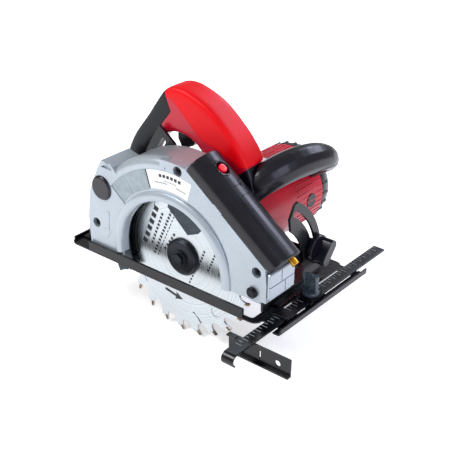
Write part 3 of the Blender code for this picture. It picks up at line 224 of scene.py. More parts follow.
RED_ABS = moulded("red_abs_shell", "#b80022", "#cc042c", 0.3, 0.8, 0.025, 0.15)
RED_ELASTOMER = moulded("red_elastomer_grip", "#dc000c", "#f00016", 0.42, 0.6, 0.03, specular=0.2)
BLACK_NYLON = moulded("black_glass_filled_nylon", "#0b0a12", "#14121d", 0.3, 0.9, 0.03, 0.06)
BLACK_ELASTOMER = moulded("black_elastomer_grip", "#0a0c10", "#14171d", 0.4, 0.7, 0.04, specular=0.25)
BLACK_ACETAL = moulded("black_acetal_knob", "#08070f", "#131120", 0.24, 1.4, 0.01, 0.25)
BUTTON_RED = moulded("red_button_acetal", "#f0001e", "#ff1030", 0.22, 1.2, 0.01, 0.3)


# %% [markdown]
# ## Lacquered die casting
# The guard is cast aluminium under silver lacquer. The lacquer holds flakes about 0.3 mm across, dries
# with a slight orange peel, and has a clear coat that gives the sharp highlight on its shoulders.

# %% Silver lacquer
SILVER_LACQUER, tree, shader = new_finish("silver_lacquer_on_casting", Metallic=0.35, Coat_Weight=0.6,
                                          Coat_Roughness=0.08)
point = object_point(tree)
flake = add_node(tree, "ShaderNodeTexVoronoi", {"Vector": point, "Scale": 2600.0})
flake_value = add_node(tree, "ShaderNodeSeparateColor", {"Color": flake.outputs["Color"]}).outputs[0]
base = mixed(tree, flake_value, tone("#9aa5ae"), tone("#b2bcc4"))
cast = mixed(tree, remap(tree, grain(tree, point, 30), 0.0, 0.35), base, tone("#bcc7cf"))
tree.links.new(cast, shader.inputs["Base Color"])
tree.links.new(remap(tree, grain(tree, point, 9), 0.30, 0.38), shader.inputs["Roughness"])
raise_surface(tree, shader, grain(tree, point, 3.0, 1.0), 0.03)

# %% [markdown]
# ## Black enamel on pressed steel
# Stoved enamel is glossy and flows a little, so the base shows an orange peel of about 2 mm. Dust and
# rubbing leave paler, duller patches.

# %% Enamel
BLACK_ENAMEL, tree, shader = new_finish("black_enamel_on_steel", Specular_IOR_Level=0.3, Coat_Weight=0.2,
                                         Coat_Roughness=0.1)
point = object_point(tree)
patch = grain(tree, point, 18, 5.0)
tree.links.new(mixed(tree, remap(tree, patch, 0.0, 1.0), tone("#07070a"), tone("#101116")),
               shader.inputs["Base Color"])
tree.links.new(remap(tree, patch, 0.2, 0.34), shader.inputs["Roughness"])
raise_surface(tree, shader, grain(tree, point, 2.2, 1.0), 0.03)


# %% [markdown]
# ## Bare metals
# A saw blade is ground on a turning table, which leaves rings about its centre. Turned parts have the same
# rings about their own axis. The rings are drawn 0.5 mm apart, coarser than real grinding, so that they
# show. Every metal keeps the usual index of refraction.

# %% Metals
def ringed_metal(name, dark, light, roughness, centre, axis, ring_mm=0.5, metallic=1.0):
    """Metal with fine rings about an axis through centre."""
    made, tree, shader = new_finish(name, Metallic=metallic)
    point = object_point(tree, centre)
    flat = add_node(tree, "ShaderNodeVectorMath", {0: point, 1: [0 if a == axis else 1 for a in "XYZ"]},
                    operation="MULTIPLY").outputs["Vector"]
    reach = add_node(tree, "ShaderNodeVectorMath", {0: flat}, operation="LENGTH").outputs["Value"]
    rings = add_node(tree, "ShaderNodeTexNoise", {"W": reach, "Scale": 1000 / ring_mm / 2, "Detail": 4.0},
                     noise_dimensions="1D").outputs["Fac"]
    stain = grain(tree, point, 25, 4.0)
    colour = mixed(tree, remap(tree, rings, 0.0, 1.0), tone(dark), tone(light))
    colour = mixed(tree, remap(tree, stain, 0.0, 0.25), colour, tone(dark))
    tree.links.new(colour, shader.inputs["Base Color"])
    tree.links.new(remap(tree, rings, roughness - 0.05, roughness + 0.09), shader.inputs["Roughness"])
    raise_surface(tree, shader, rings, 0.012)
    return made


def plain_metal(name, dark, light, roughness, metallic=1.0):
    """Plated or blackened metal with a faint mottle."""
    made, tree, shader = new_finish(name, Metallic=metallic)
    point = object_point(tree)
    mottle = grain(tree, point, 3.5, 4.0)
    tree.links.new(mixed(tree, remap(tree, mottle, 0.0, 1.0), tone(dark), tone(light)),
                   shader.inputs["Base Color"])
    tree.links.new(remap(tree, mottle, roughness - 0.05, roughness + 0.07), shader.inputs["Roughness"])
    raise_surface(tree, shader, mottle, 0.01)
    return made


GROUND_STEEL = ringed_metal("ground_blade_steel", "#aeb6bb", "#dfe4e6", 0.27, CENTRE, "Y")
BLACK_OXIDE = ringed_metal("black_oxide_steel", "#1e2126", "#3a3e44", 0.36, CENTRE, "Y", 0.7, 0.85)
ZINC = plain_metal("zinc_plated_steel", "#9aa0a6", "#c3c8cc", 0.33)
BLACK_SCREW = plain_metal("black_oxide_screw", "#15151c", "#26262f", 0.3, 0.7)
BRASS = plain_metal("turned_brass", "#c98a1e", "#efb443", 0.2)
COPPER = plain_metal("enamelled_copper_wire", "#8a3f1c", "#b8693a", 0.32)
LAMINATION = plain_metal("stacked_steel_laminations", "#3b3f45", "#5a6067", 0.4)
CARBIDE = plain_metal("brazed_carbide", "#5d4428", "#96713f", 0.38, 0.8)
SHEET_BLACK = plain_metal("phosphated_spring_steel", "#2a3238", "#414a52", 0.42, 0.6)

# %% [markdown]
# ## Smoked knob and printed film
# The fence knob is polycarbonate tinted grey, so some light passes into it. The label is white vinyl, which
# has a soft gloss, and the ink on it and on the blade is screen printed and nearly matt.

# %% Clear grey knob
SMOKED_KNOB, tree, shader = new_finish("smoked_polycarbonate", IOR=1.58, Transmission_Weight=0.35)
point = object_point(tree)
tree.links.new(mixed(tree, remap(tree, grain(tree, point, 6), 0.0, 1.0), tone("#3c4955"), tone("#596975")),
               shader.inputs["Base Color"])
tree.links.new(remap(tree, grain(tree, point, 2), 0.2, 0.32), shader.inputs["Roughness"])
raise_surface(tree, shader, grain(tree, point, 1.2), 0.01)

# %% Printed film
LABEL_FILM, tree, shader = new_finish("white_vinyl_label", IOR=1.5)
point = object_point(tree)
tree.links.new(mixed(tree, remap(tree, grain(tree, point, 12), 0.0, 1.0), tone("#eceeee"), tone("#fafafa")),
               shader.inputs["Base Color"])
tree.links.new(remap(tree, grain(tree, point, 4), 0.3, 0.42), shader.inputs["Roughness"])
INK, tree, shader = new_finish("black_screen_ink", IOR=1.5)
point = object_point(tree)
speckle = remap(tree, grain(tree, point, 1.5), 0.0, 1.0)
tree.links.new(mixed(tree, speckle, tone("#17181a"), tone("#2b2d30")), shader.inputs["Base Color"])
tree.links.new(remap(tree, grain(tree, point, 3), 0.45, 0.6), shader.inputs["Roughness"])

# %% [markdown]
# ## Which part has which finish
# Parts whose mechanical shape is already right keep it and only get a finish. A part that is remodelled
# further down takes its finish there, and until then this list shows it in the right colour.

# %% Every carried-over node gets its finish
FINISHES = {
    RED_ABS: "motor_housing main_handle",
    RED_ELASTOMER: "top_grip",
    BLACK_NYLON: "gear_housing motor_end_cap brush_holder_front brush_holder_rear cable_gland switch_body "
                 "aux_handle laser_body cooling_fan lower_guard_roller dust_port_plug trigger depth_lever "
                 "lock_off_button",
    BLACK_ELASTOMER: "rear_grip",
    BLACK_ACETAL: "bevel_knob",
    BUTTON_RED: "laser_button spindle_lock",
    SILVER_LACQUER: "outer_guard inner_guard front_block",
    BLACK_ENAMEL: "base_plate bevel_quadrant rear_bracket fence_guide fence_clamp fence_bar fence_plate "
                  "bevel_frame depth_quadrant",
    BLACK_SCREW: "depth_pivot_bolt cover_screw_1 cover_screw_2 cover_screw_3",
    GROUND_STEEL: "blade spindle",
    BLACK_OXIDE: "outer_flange inner_flange blade_bolt output_gear",
    ZINC: "bevel_nut bevel_pin_front bevel_pin_rear armature_shaft lower_guard_spring "
          "spindle_bearing_front spindle_bearing_rear armature_bearing_front armature_bearing_rear",
    SHEET_BLACK: "lower_guard",
    LAMINATION: "stator",
    COPPER: "armature_core commutator",
    SMOKED_KNOB: "fence_knob",
    BRASS: "laser_nozzle",
}
for finish, names in FINISHES.items():
    for name in names.split():
        node = frame["nodes"][name]
        node.data.materials.clear()
        node.data.materials.append(finish)
print("finishes:", len(FINISHES))


# %% [markdown]
# ## Tools for modelling
# Most pieces start from the mechanical part's own mesh, copied and welded, so they sit exactly where the
# part sits. New shapes are a ring of points, filled, extruded and bevelled, or a profile spun about the
# blade. Every modifier is applied at once, so what is left is a plain mesh.

# %% Modelling tools
def activate(piece):
    """Make a piece the only one selected, and the active one."""
    bpy.ops.object.select_all(action="DESELECT")
    piece.select_set(True)
    bpy.context.view_layer.objects.active = piece


def apply(piece, kind, **settings):
    """Add one modifier, set it and apply it."""
    activate(piece)
    step = piece.modifiers.new(kind, kind)
    for key, value in settings.items():
        setattr(step, key, value)
    bpy.ops.object.modifier_apply(modifier=step.name)


def tidy_mesh(piece, weld=0.01):
    """Weld points closer than weld millimetres and turn every face outward."""
    activate(piece)
    bpy.ops.object.mode_set(mode="EDIT")
    bpy.ops.mesh.select_all(action="SELECT")
    bpy.ops.mesh.remove_doubles(threshold=weld * MM)
    bpy.ops.mesh.normals_make_consistent(inside=False)
    bpy.ops.object.mode_set(mode="OBJECT")


def copy_of(node, name):
    """A welded copy of a mechanical part, its flat faces made whole again."""
    made = bpy.data.objects.new(name, frame["nodes"][node].data.copy())
    bpy.context.scene.collection.objects.link(made)
    tidy_mesh(made)
    bpy.ops.object.mode_set(mode="EDIT")
    bpy.ops.mesh.select_all(action="SELECT")
    bpy.ops.mesh.dissolve_limited(angle_limit=math.radians(1.0))
    bpy.ops.object.mode_set(mode="OBJECT")
    return made


def join_all(pieces):
    """Join several pieces into the first, which keeps its name."""
    activate(pieces[0])
    for piece in pieces:
        piece.select_set(True)
    bpy.ops.object.join()
    return pieces[0]


def carve(piece, *tools, operation="DIFFERENCE"):
    """Cut tools away from a piece, or add them, and delete them."""
    for tool in tools:
        apply(piece, "BOOLEAN", operation=operation, object=tool, solver="EXACT")
        bpy.data.objects.remove(tool, do_unlink=True)
    return piece


# %% Outlines made solid
def flat(name, points, axis, near, far, bevel=0.0, segments=3):
    """A ring of points (millimetres, in the plane across the axis) filled and extruded from near to far."""
    bpy.ops.mesh.primitive_circle_add(vertices=len(points), fill_type="NGON")
    made = bpy.context.object
    made.name = name
    for vert, (u, v) in zip(made.data.vertices, points):
        vert.co = at(*{"X": (near, u, v), "Y": (u, near, v), "Z": (u, v, near)}[axis])
    bpy.ops.object.mode_set(mode="EDIT")
    bpy.ops.mesh.select_all(action="SELECT")
    reach = [(far - near) * MM if letter == axis else 0.0 for letter in "XYZ"]
    bpy.ops.mesh.extrude_region_move(TRANSFORM_OT_translate={"value": reach})
    bpy.ops.object.mode_set(mode="OBJECT")
    tidy_mesh(made, 0.001)
    if bevel:
        apply(made, "BEVEL", width=bevel * MM, segments=segments, limit_method="ANGLE",
              angle_limit=math.radians(40))
    return made


def spun(name, profile, start, end, steps=48, axle=(0, 0)):
    """A closed profile of (radius, Y) points swept between two angles about an axle along Y, at (X, Z)."""
    bpy.ops.mesh.primitive_circle_add(vertices=len(profile), fill_type="NGON")
    made = bpy.context.object
    made.name = name
    for vert, (radius, y) in zip(made.data.vertices, profile):
        x, z = polar(radius, start, axle)
        vert.co = at(x, y, z)
    bpy.ops.object.mode_set(mode="EDIT")
    bpy.ops.mesh.select_all(action="SELECT")
    bpy.ops.mesh.spin(steps=steps, angle=math.radians(end - start),
                      center=at(axle[0], 0, axle[1]), axis=(0, 1, 0))
    bpy.ops.object.mode_set(mode="OBJECT")
    tidy_mesh(made, 0.001)
    return made


# %% Points that follow a circle
def polar(radius, angle, centre=(0, 0)):
    """A point at a radius and an angle in degrees from +X towards +Z."""
    turn = math.radians(angle)
    return (centre[0] + radius * math.cos(turn), centre[1] + radius * math.sin(turn))


def arc(radius, start, end, steps=24, centre=(0, 0)):
    """Points along an arc, both ends included."""
    return [polar(radius, start + (end - start) * i / steps, centre) for i in range(steps + 1)]


def ring(radius, centre=(0, 0), steps=40):
    """Points round a whole circle."""
    return arc(radius, 0, 360, steps, centre)[:-1]


def band(inner, outer, start, end, steps=32):
    """The outline of a curved strip about the blade's centre."""
    return arc(outer, start, end, steps) + arc(inner, end, start, steps)


# %% Copies and finishing
def around(piece, turns, middle=CENTRE):
    """Copies of a piece turned about an axis along Y by each angle in turns, joined with it."""
    copies = [piece]
    for angle in turns:
        twin = piece.copy()
        twin.data = piece.data.copy()
        bpy.context.scene.collection.objects.link(twin)
        twin.data.transform(Matrix.Translation(middle) @ Matrix.Rotation(math.radians(angle), 4, "Y")
                            @ Matrix.Translation(-middle))
        copies.append(twin)
    return join_all(copies)


def place(piece, finish, body, *nodes, angle=32):
    """Give a finished piece its material and its body, and hide the mechanical parts it stands for."""
    piece.data.materials.clear()
    piece.data.materials.append(finish)
    activate(piece)
    bpy.ops.object.shade_smooth_by_angle(angle=math.radians(angle))
    apply(piece, "WEIGHTED_NORMAL", keep_sharp=True)
    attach(piece, body)
    if nodes:
        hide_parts(*nodes)
    print(piece.name, "faces:", len(piece.data.polygons))
    return piece


# %% [markdown]
# ## Guard cover
# The outer half of the upper guard is a die casting. Its crown has a large radius so that chips slide off,
# a shallow track runs round the window, and the window has a raised, rounded lip. The plain shell comes
# first, then thickening where a radius would break through, and then the cuts.

# %% Guard shell
TRACK = -21.0            # a level just outside the floor of the shallow track
JOINT = -12.1            # just outside the joint between the guard's halves
CLEAR = -24.0            # cutters start here, outside the metal
SCREWS = [(12, 109), (-107.5, 13), (112.7, 32.2)]

cover = copy_of("outer_guard", "guard_cover")
backing = spun("backing", [(104, -20), (115.4, -20), (115.4, JOINT), (104, JOINT)], 92, 134)
carve(cover, backing, operation="UNION")
for spot in SCREWS:
    carve(cover, flat("cup", ring(7.4, spot, 24), "Y", TRACK, JOINT), operation="UNION")
turn = [polar(9, angle) for angle in range(90, -1, -10)]
shoulder = [(107.5 + out, -13 - up) for out, up in turn]
carve(cover, spun("shoulder_cutter", [(107.5, -25)] + shoulder + [(119, -13), (119, -25)], 96, 132.5))
carve(cover, flat("track_cutter", band(80, 105, -3, 142, 60), "Y", CLEAR, TRACK + 0.1))
print("guard cover after the shoulder and the track:", len(cover.data.polygons), "faces")

# %% Guard window, wells and marks
lip = [(69.2, -12.3), (69.2, -21.6), (70.2, -23.3), (72.2, -24.3), (75, -24.4), (77.8, -23.6),
       (79.8, -22.0), (80.6, -20.2), (80.6, -12.3)]
carve(cover, spun("window_lip", lip, -1.0, 188.5, 72), operation="UNION")
crescent = [polar(81.2 + 3.4 * math.sin(math.pi * i / 30), 76 - 62 * i / 30) for i in range(31)]
crescent += [polar(80.9, 14 + 62 * i / 30) for i in range(31)]
carve(cover, flat("crescent_cutter", crescent, "Y", CLEAR, -19.7))
for spot in SCREWS:
    carve(cover, flat("well", ring(5.7, spot, 28), "Y", CLEAR, -16.4))
rib = [(106.0, -22.4), (108.0, -22.8), (112.5, -21.4), (115.6, -18.4), (117.3, -14.0), (117.3, -12.2),
       (106, -12.2)]
carve(cover, spun("shoulder_rib", rib, 92.4, 96.2, 4), operation="UNION")
carve(cover, flat("corner_notch", [(-96.5, 83), (-84, 91), (-80.5, 82)], "Y", CLEAR, -19.8))
arrow = [(-91.5, 32), (-87.2, 32), (-88.4, 10), (-85.6, 10), (-91.5, -1), (-95.0, 10), (-92.4, 10)]
carve(cover, flat("arrow", arrow, "Y", -22.5, -21.5, 0.2, 1), operation="UNION")
apply(cover, "BEVEL", width=0.45 * MM, segments=2, limit_method="ANGLE", angle_limit=math.radians(38))
place(cover, SILVER_LACQUER, "saw_body", "outer_guard", angle=28)

# %% [markdown]
# ## Guard label, pads and screws
# Two grey pads and a white label lie in the track, a hair proud of the casting, so they are flat curved
# strips a quarter of a millimetre thick. The label carries rows of plain dashes in place of any wording.

# %% Pads and label
PAD_GREY = plain_metal("grey_lacquer_pad", "#8b969d", "#a2adb3", 0.42, 0.3)
for name, start, end in (("guard_pad_rear", 127.5, 141), ("guard_pad_middle", 109.5, 126.8)):
    pad = flat(name, band(82.2, 103.8, start, end, 12), "Y", TRACK - 0.25, TRACK + 0.2, 0.15, 1)
    place(pad, PAD_GREY, "saw_body")
label = flat("guard_label", band(83.5, 103.8, 73.5, 107.6), "Y", TRACK - 0.1, TRACK + 0.2)
place(label, LABEL_FILM, "saw_body")

# Each row of dashes: its radius, how thick it is, its first and last angle, how many dashes
ROWS = [(98.3, 3.4, 81, 99, 6), (93.2, 0.8, 84, 95, 8), (90.0, 1.1, 76, 84.5, 9), (90.6, 1.1, 92, 103, 9)]
marks = [band(83.5, 103.8, 107.7, 108.7, 2)]
for radius, thick, start, end, count in ROWS:
    pitch = (end - start) / count
    for i in range(count):
        first = start + pitch * i
        marks.append(band(radius - thick / 2, radius + thick / 2, first, first + pitch * 0.7, 2))
print_marks = [flat("guard_label_print", mark, "Y", TRACK - 0.18, TRACK) for mark in marks]
place(join_all(print_marks), INK, "saw_body")


# %% Cover screws
def bar_outline(x, z, half_x, half_z):
    """The four corners of a bar about a point."""
    return [(x - half_x, z - half_z), (x + half_x, z - half_z), (x + half_x, z + half_z),
            (x - half_x, z + half_z)]


for i, (x, z) in enumerate(SCREWS):
    head = flat(f"cover_screw_head_{i + 1}", ring(4.5, (x, z), 32), "Y", -18.8, -14, 0.8)
    carve(head, flat("slot", bar_outline(x, z, 3, 0.6), "Y", -20, -17.6),
          flat("slot", bar_outline(x, z, 0.6, 3), "Y", -20, -17.6))
    place(head, BLACK_SCREW, "saw_body", f"cover_screw_{i + 1}")

# %% Dust port plug
plug = flat("port_plug", ring(13.9, (-97, 58), 48), "Y", -24.6, -14, 2.6, 6)
place(plug, BLACK_ACETAL, "saw_body", "dust_port_plug", angle=60)

# %% [markdown]
# ## Softening, refining and beads
# Thick mouldings have no sharp edge anywhere. Fusing and remeshing a copy of the mechanical part, and then
# smoothing it, gives that in three steps. Pressed and turned parts only need their edges broken. A fine
# raised line is a thin tube laid on the surface.

# %% Softening, refining and beads
def soften(name, nodes, voxel, rounds):
    """Parts fused into one soft moulding: remeshed at voxel millimetres, then smoothed."""
    made = join_all([copy_of(node, name) for node in nodes])
    apply(made, "REMESH", mode="VOXEL", voxel_size=voxel * MM)
    apply(made, "SMOOTH", factor=0.5, iterations=rounds)
    return made


def twin_of(piece, name):
    """A second piece with a mesh of its own."""
    twin = piece.copy()
    twin.data = piece.data.copy()
    twin.name = name
    bpy.context.scene.collection.objects.link(twin)
    return twin


def refine(node, width, finish, segments=2, limit=35):
    """A part as it is, with its sharp edges broken by a small radius."""
    made = copy_of(node, node + "_finished")
    apply(made, "BEVEL", width=width * MM, segments=segments, limit_method="ANGLE",
          angle_limit=math.radians(limit))
    return place(made, finish, body_of(frame["nodes"][node])[0], node)


def bead(name, target, points, radius):
    """A thin round line laid on a target's surface through points in millimetres."""
    line = []
    for (a, b) in zip(points, points[1:]):
        for i in range(6):
            line.append(Vector(a).lerp(Vector(b), i / 6))
    line.append(Vector(points[-1]))
    curve = bpy.data.curves.new(name, "CURVE")
    curve.dimensions = "3D"
    curve.bevel_depth = radius * MM
    curve.bevel_resolution = 2
    curve.use_fill_caps = True
    spline = curve.splines.new("POLY")
    spline.points.add(len(line) - 1)
    for point, spot in zip(spline.points, line):
        found = target.closest_point_on_mesh(at(*spot))
        point.co = (*found[1], 1)
    made = bpy.data.objects.new(name, curve)
    bpy.context.scene.collection.objects.link(made)
    activate(made)
    bpy.ops.object.convert(target="MESH")
    return bpy.context.object


# %% [markdown]
# ## Handle
# The closed handle is one flowing shape that three mouldings share: a glossy shell, a black palm grip and
# a red top grip. It is modelled the way the tool maker does it: the whole shape is made soft first, then
# parted by planes, so that the surface runs on across every seam. Its front foot is black like the bar.

# %% Handle
whole = soften("handle_whole", ["main_handle", "rear_grip", "top_grip"], 1.3, 90)
# The part of the handle in each moulding, as an outline seen from the blade's side
TOP = [(-52, 169), (-47, 158), (-40, 158.5), (-27, 147.5), (-15, 136.5), (-6, 128.8), (2.6, 123.6),
       (10, 121), (18.7, 119.3), (36, 114), (50, 107.5), (80, 112), (80, 190), (-52, 190)]
REAR = [(-52.5, 169), (-41.5, 144), (-55, 126.5), (-70.5, 103), (-84, 80), (-90, 62), (-84, 46), (-100, 26),
        (-135, 40), (-135, 190), (-52.5, 190)]
ROOT = [(22, 75.5), (80, 125.4), (120, 60), (60, 0), (30, 40)]


def zone(points, grow=0.0):
    """A block of space across the handle; grow fattens it, which leaves the gap of a seam."""
    made = flat("zone", points, "Y", 15, 75)
    if grow:
        apply(made, "DISPLACE", strength=grow * MM, mid_level=0.0)
    return made


top_grip = carve(twin_of(whole, "top_grip_soft"), zone(TOP), operation="INTERSECT")
apply(top_grip, "DISPLACE", strength=0.2 * MM, mid_level=0.0)
place(top_grip, RED_ELASTOMER, "saw_body", "top_grip", angle=50)
rear_grip = carve(twin_of(whole, "rear_grip_soft"), zone(REAR), operation="INTERSECT")
apply(rear_grip, "DISPLACE", strength=0.3 * MM, mid_level=0.0)
place(rear_grip, BLACK_ELASTOMER, "saw_body", "rear_grip", angle=50)
foot = carve(twin_of(whole, "handle_foot"), zone(ROOT), operation="INTERSECT")
place(foot, BLACK_NYLON, "saw_body", angle=50)
carve(whole, zone(TOP, 0.6), zone(REAR, 0.5), zone(ROOT, 0.3))
whole.name = "handle_shell"
place(whole, RED_ABS, "saw_body", "main_handle", angle=50)

# %% [markdown]
# ## Front handle and laser housing
# Both are thick black mouldings with generous radii, so they are softened from the mechanical parts. Fine
# raised lines mark the edge of the soft insert on the bar and the battery cover on the laser.

# %% Front handle
bar = soften("front_bar", ["aux_handle"], 1.2, 14)
place(bar, BLACK_NYLON, "saw_body", "aux_handle", angle=60)
insert = [(66, 56, 116), (62, 64, 108), (66, 64, 96), (82, 80, 88), (96, 110, 88), (100, 130, 86),
          (94, 146, 84)]
under = [(74, 70, 82), (86, 100, 82), (90, 128, 78), (82, 146, 72)]
place(bead("front_bar_insert_line", bar, insert, 0.45), BLACK_NYLON, "saw_body")
place(bead("front_bar_lip_line", bar, under, 0.5), BLACK_NYLON, "saw_body")


# %% Laser housing
SLOPE_TOP = Vector((21.83, 0, 114.43))
SLOPE_FOOT = Vector((123, 0, 39))
DOWN_SLOPE = (SLOPE_FOOT - SLOPE_TOP).normalized()
OFF_SLOPE = Vector((-DOWN_SLOPE[2], 0, DOWN_SLOPE[0]))


def on_slope(along, y, out):
    """A point given by millimetres down the guard's front slope, Y, and millimetres out of it."""
    return SLOPE_TOP + DOWN_SLOPE * along + OFF_SLOPE * out + Vector((0, y, 0))


def slope_ring(along, y, radius, out, per_radian, count):
    """Points round a circle on the slope; count over per_radian is just about one turn."""
    turns = [i / per_radian for i in range(count)]
    return [on_slope(along + radius * math.cos(a), y + radius * math.sin(a), out) for a in turns]


laser = soften("laser_housing", ["laser_body"], 0.8, 8)
place(laser, BLACK_NYLON, "saw_body", "laser_body", angle=60)
for name, start, side, turn in (("laser_cover_line", 44, -14.5, 10), ("laser_cover_inner_line", 56, -9.5, 7)):
    line = [on_slope(118, side, 24), on_slope(start + turn + 6, side, 24),
            on_slope(start + turn * 0.4, side + turn * 0.35, 26), on_slope(start, side + turn, 28),
            on_slope(start, 8, 28), on_slope(start + 3, 16, 24)]
    place(bead(name, laser, line, 0.4), BLACK_NYLON, "saw_body")
place(bead("laser_screw_boss", laser, slope_ring(43, 9.5, 3.4, 26, 4, 26), 0.6), BLACK_NYLON, "saw_body")
place(bead("laser_button_rim", laser, slope_ring(22, 1, 8.6, 30, 5, 33), 0.7), BLACK_ACETAL, "saw_body")
refine("laser_button", 0.8, BUTTON_RED, 3)
refine("laser_nozzle", 0.7, BRASS, 3)

# %% [markdown]
# ## Blade
# The disc is ground steel. Four hooked slots let the rim grow when it gets hot, each tooth carries a brazed
# carbide tip that is a little wider than the disc, and the maker prints dashes and the turning arrow on it.

# %% Blade
TOOTH_PHASE = 225.27     # angle of one tooth tip
QUARTERS = [90, 180, 270]
blade = copy_of("blade", "blade_ground")
hook = [polar(79.6, 288.2), polar(72, 285.9), polar(66.8, 282.6), polar(66.1, 281.0), polar(64.9, 281.2),
        polar(65.2, 283.2), polar(70.6, 286.9), polar(79.6, 290.0)]
curl = arc(6.5, 150, 330, 14, polar(68, 312)) + arc(5.7, 330, 150, 14, polar(68, 312))
carve(blade, around(flat("slots", hook, "Y", -3, 3), QUARTERS),
      around(flat("curls", curl, "Y", -3, 3), QUARTERS))
apply(blade, "BEVEL", width=0.15 * MM, segments=1, limit_method="ANGLE", angle_limit=math.radians(50))
place(blade, GROUND_STEEL, "blade", "blade")
tip = [polar(92.45, TOOTH_PHASE - 0.05), polar(92.3, TOOTH_PHASE - 1.7), polar(87.4, TOOTH_PHASE - 3.1),
       polar(87.0, TOOTH_PHASE - 1.45)]
tips = around(flat("carbide_tips", tip, "Y", -1.5, 1.5, 0.15, 1), [15 * i for i in range(1, 24)])
place(tips, CARBIDE, "blade")


# %% Print on the blade
def dash(centre, length, thick, lean):
    """A slanted bar of ink: the four corners of a parallelogram."""
    along = Vector((math.cos(math.radians(lean)), math.sin(math.radians(lean)))) * length / 2
    up = Vector((-along[1], along[0])).normalized() * thick / 2
    middle = Vector(centre)
    return [tuple(middle - along - up), tuple(middle + along - up), tuple(middle + along + up),
            tuple(middle - along + up)]


# Each line of dashes: its two ends, how thick it is, how many dashes
LINES = [((-56, -3), (-36, 49), 6.5, 6), ((-45, 0), (-28, 43), 3.0, 9), ((-42, -11), (-15, 50), 3.2, 14),
         ((-37, -12), (-12, 44), 1.2, 12), ((-27, -1), (-11, 24), 2.8, 5), ((22, -3), (30, 18), 2.6, 5),
         ((34, -6), (44, 18), 2.4, 6), ((8, -30), (16, -12), 2.0, 4)]
ink = []
for start, end, thick, count in LINES:
    way = Vector(end) - Vector(start)
    lean = math.degrees(math.atan2(way[1], way[0]))
    for i in range(count):
        ink.append(dash(Vector(start) + way * (i + 0.5) / count, way.length / count * 0.62, thick, lean))
# The arrow that shows which way the blade turns
ink.append([(-26, -47.6), (-10, -50.8), (-10.6, -47.4), (-1, -53.8), (-12.2, -57.0), (-11.4, -53.8),
            (-27, -50.8)])
place(join_all([flat("blade_print", mark, "Y", -1.16, -1.0) for mark in ink]), INK, "blade")
refine("outer_flange", 0.5, BLACK_OXIDE, 3)
refine("blade_bolt", 0.6, BLACK_OXIDE, 3)

# %% [markdown]
# ## Motor
# The housing's rear half has fine ribs along it, the end cap has broader ones, and a plate with the ratings
# is stuck on top. One rib is modelled and turned about the motor's axis.

# %% Motor
AXLE = (17.0, 32.6)      # the motor's axis, X and Z
MOTOR_CENTRE = at(AXLE[0], 0, AXLE[1])


def rib_outline(half_width, inner, outer):
    """The four corners of a rib above the motor's axis, between two heights over it."""
    x, z = AXLE
    return [(x - half_width, z + inner), (x + half_width, z + inner), (x + half_width, z + outer),
            (x - half_width, z + outer)]


refine("motor_housing", 0.6, RED_ABS)
rib = flat("housing_ribs", rib_outline(0.5, 45.4, 46.9), "Y", 118, 163.4, 0.3)
place(around(rib, [7.5 * i for i in range(1, 48)], MOTOR_CENTRE), RED_ABS, "saw_body")
refine("motor_end_cap", 0.6, BLACK_NYLON)
rib = flat("cap_ribs", rib_outline(1.6, 43.0, 46.8), "Y", 164.8, 174.5, 0.6)
place(around(rib, [15 * i for i in range(1, 24)], MOTOR_CENTRE), BLACK_NYLON, "saw_body")
plate = spun("rating_plate", [(46.0, 104), (46.6, 104), (46.6, 116), (46.0, 116)], 84, 118, 16, AXLE)
place(plate, LABEL_FILM, "saw_body")

# %% [markdown]
# ## Pressed steel, knobs and small parts
# Pressed parts have their edges broken by about half a millimetre, which is what makes enamelled steel
# show thin bright lines. The fence bar carries a scale.

# %% Edges
for node in ("base_plate", "bevel_quadrant", "bevel_frame", "depth_quadrant", "rear_bracket", "fence_bar",
             "fence_guide", "fence_clamp", "fence_plate"):
    refine(node, 0.4, BLACK_ENAMEL)
refine("front_block", 0.6, SILVER_LACQUER)
refine("inner_guard", 0.5, SILVER_LACQUER)
refine("lower_guard", 0.3, SHEET_BLACK)
# The web of the lower guard shows as a dark wedge in the window
web = [(-14, 57.5), (13.4, 33.4), (27.4, 39.6), (42, 56), (30, 66), (10, 71), (-10, 70)]
place(flat("lower_guard_web", web, "Y", -9.4, -8.0, 0.4, 2), SHEET_BLACK, "lower_guard")
refine("gear_housing", 1.0, BLACK_NYLON)
refine("bevel_knob", 0.5, BLACK_ACETAL, 3)
refine("fence_knob", 0.5, SMOKED_KNOB, 3)
refine("trigger", 0.8, BLACK_NYLON, 3)
refine("depth_lever", 0.6, BLACK_NYLON)
refine("depth_pivot_bolt", 0.4, BLACK_SCREW)

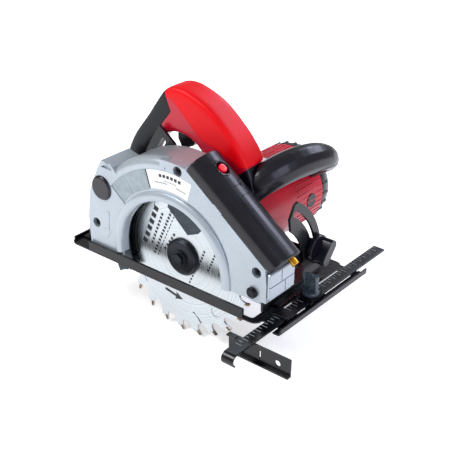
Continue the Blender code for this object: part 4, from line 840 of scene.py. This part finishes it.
# %% Fence scale
SCALE_PAINT = plain_metal("grey_scale_paint", "#8f979c", "#aab1b5", 0.45, 0.0)
PITCH = 5                # between two ticks; every second one is long
ticks = []
for i in range(50):
    y = -70 + PITCH * i
    reach = 133.4 if i % 2 == 0 else 130.4
    ticks.append([(126.2, y), (reach, y), (reach, y + 0.6), (126.2, y + 0.6)])
place(join_all([flat("fence_scale", tick, "Z", -18.03, -17.9) for tick in ticks]), SCALE_PAINT, "fence")


# %% [markdown]
# ## Floor and lamps
# A broad pale floor carries a little light of its own, so it stays white under soft lamps. The key lamp
# stands over the blade's side, the fill warms the front, and the rim lamp draws the edges from behind.

# %% Floor and lamps
def lamp(name, place, target, size, power, colour="#ffffff"):
    """A rectangular area lamp, turned to face a target."""
    data = bpy.data.lights.new(name, "AREA")
    data.shape = "RECTANGLE"
    data.size, data.size_y = size
    data.energy = power
    data.color = tone(colour)[:3]
    made = bpy.data.objects.new(name, data)
    bpy.context.scene.collection.objects.link(made)
    made.location = place
    made.rotation_euler = (Vector(target) - Vector(place)).to_track_quat("-Z", "Y").to_euler()
    return made


bpy.ops.mesh.primitive_plane_add(size=9.0, location=(0, 0, low[2] - 0.0002))
floor = bpy.context.object
floor.name = "floor"
FLOOR, tree, shader = new_finish("white_sweep", Roughness=0.9)
shader.inputs["Base Color"].default_value = tone("#fbfbfb")
shader.inputs["Emission Color"].default_value = tone("#ffffff")
shader.inputs["Emission Strength"].default_value = 0.5
floor.data.materials.append(FLOOR)
floor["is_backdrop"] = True
lamp("key", (-0.9, -1.1, 1.5), CENTRE, (1.0, 0.7), 25)
lamp("fill", (1.5, -0.3, 0.9), CENTRE, (0.6, 1.2), 10, "#dfe2ff")
lamp("rim", (0.2, 1.5, 1.2), CENTRE, (1.6, 0.4), 18, "#dfe4ff")
world = bpy.data.worlds.new("room")
bpy.context.scene.world = world
world.use_nodes = True
world.node_tree.nodes["Background"].inputs[0].default_value = tone("#ffffff")
world.node_tree.nodes["Background"].inputs[1].default_value = 0.38

# %% Finish
low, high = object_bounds()
bpy.context.scene.view_settings.view_transform = "Standard"
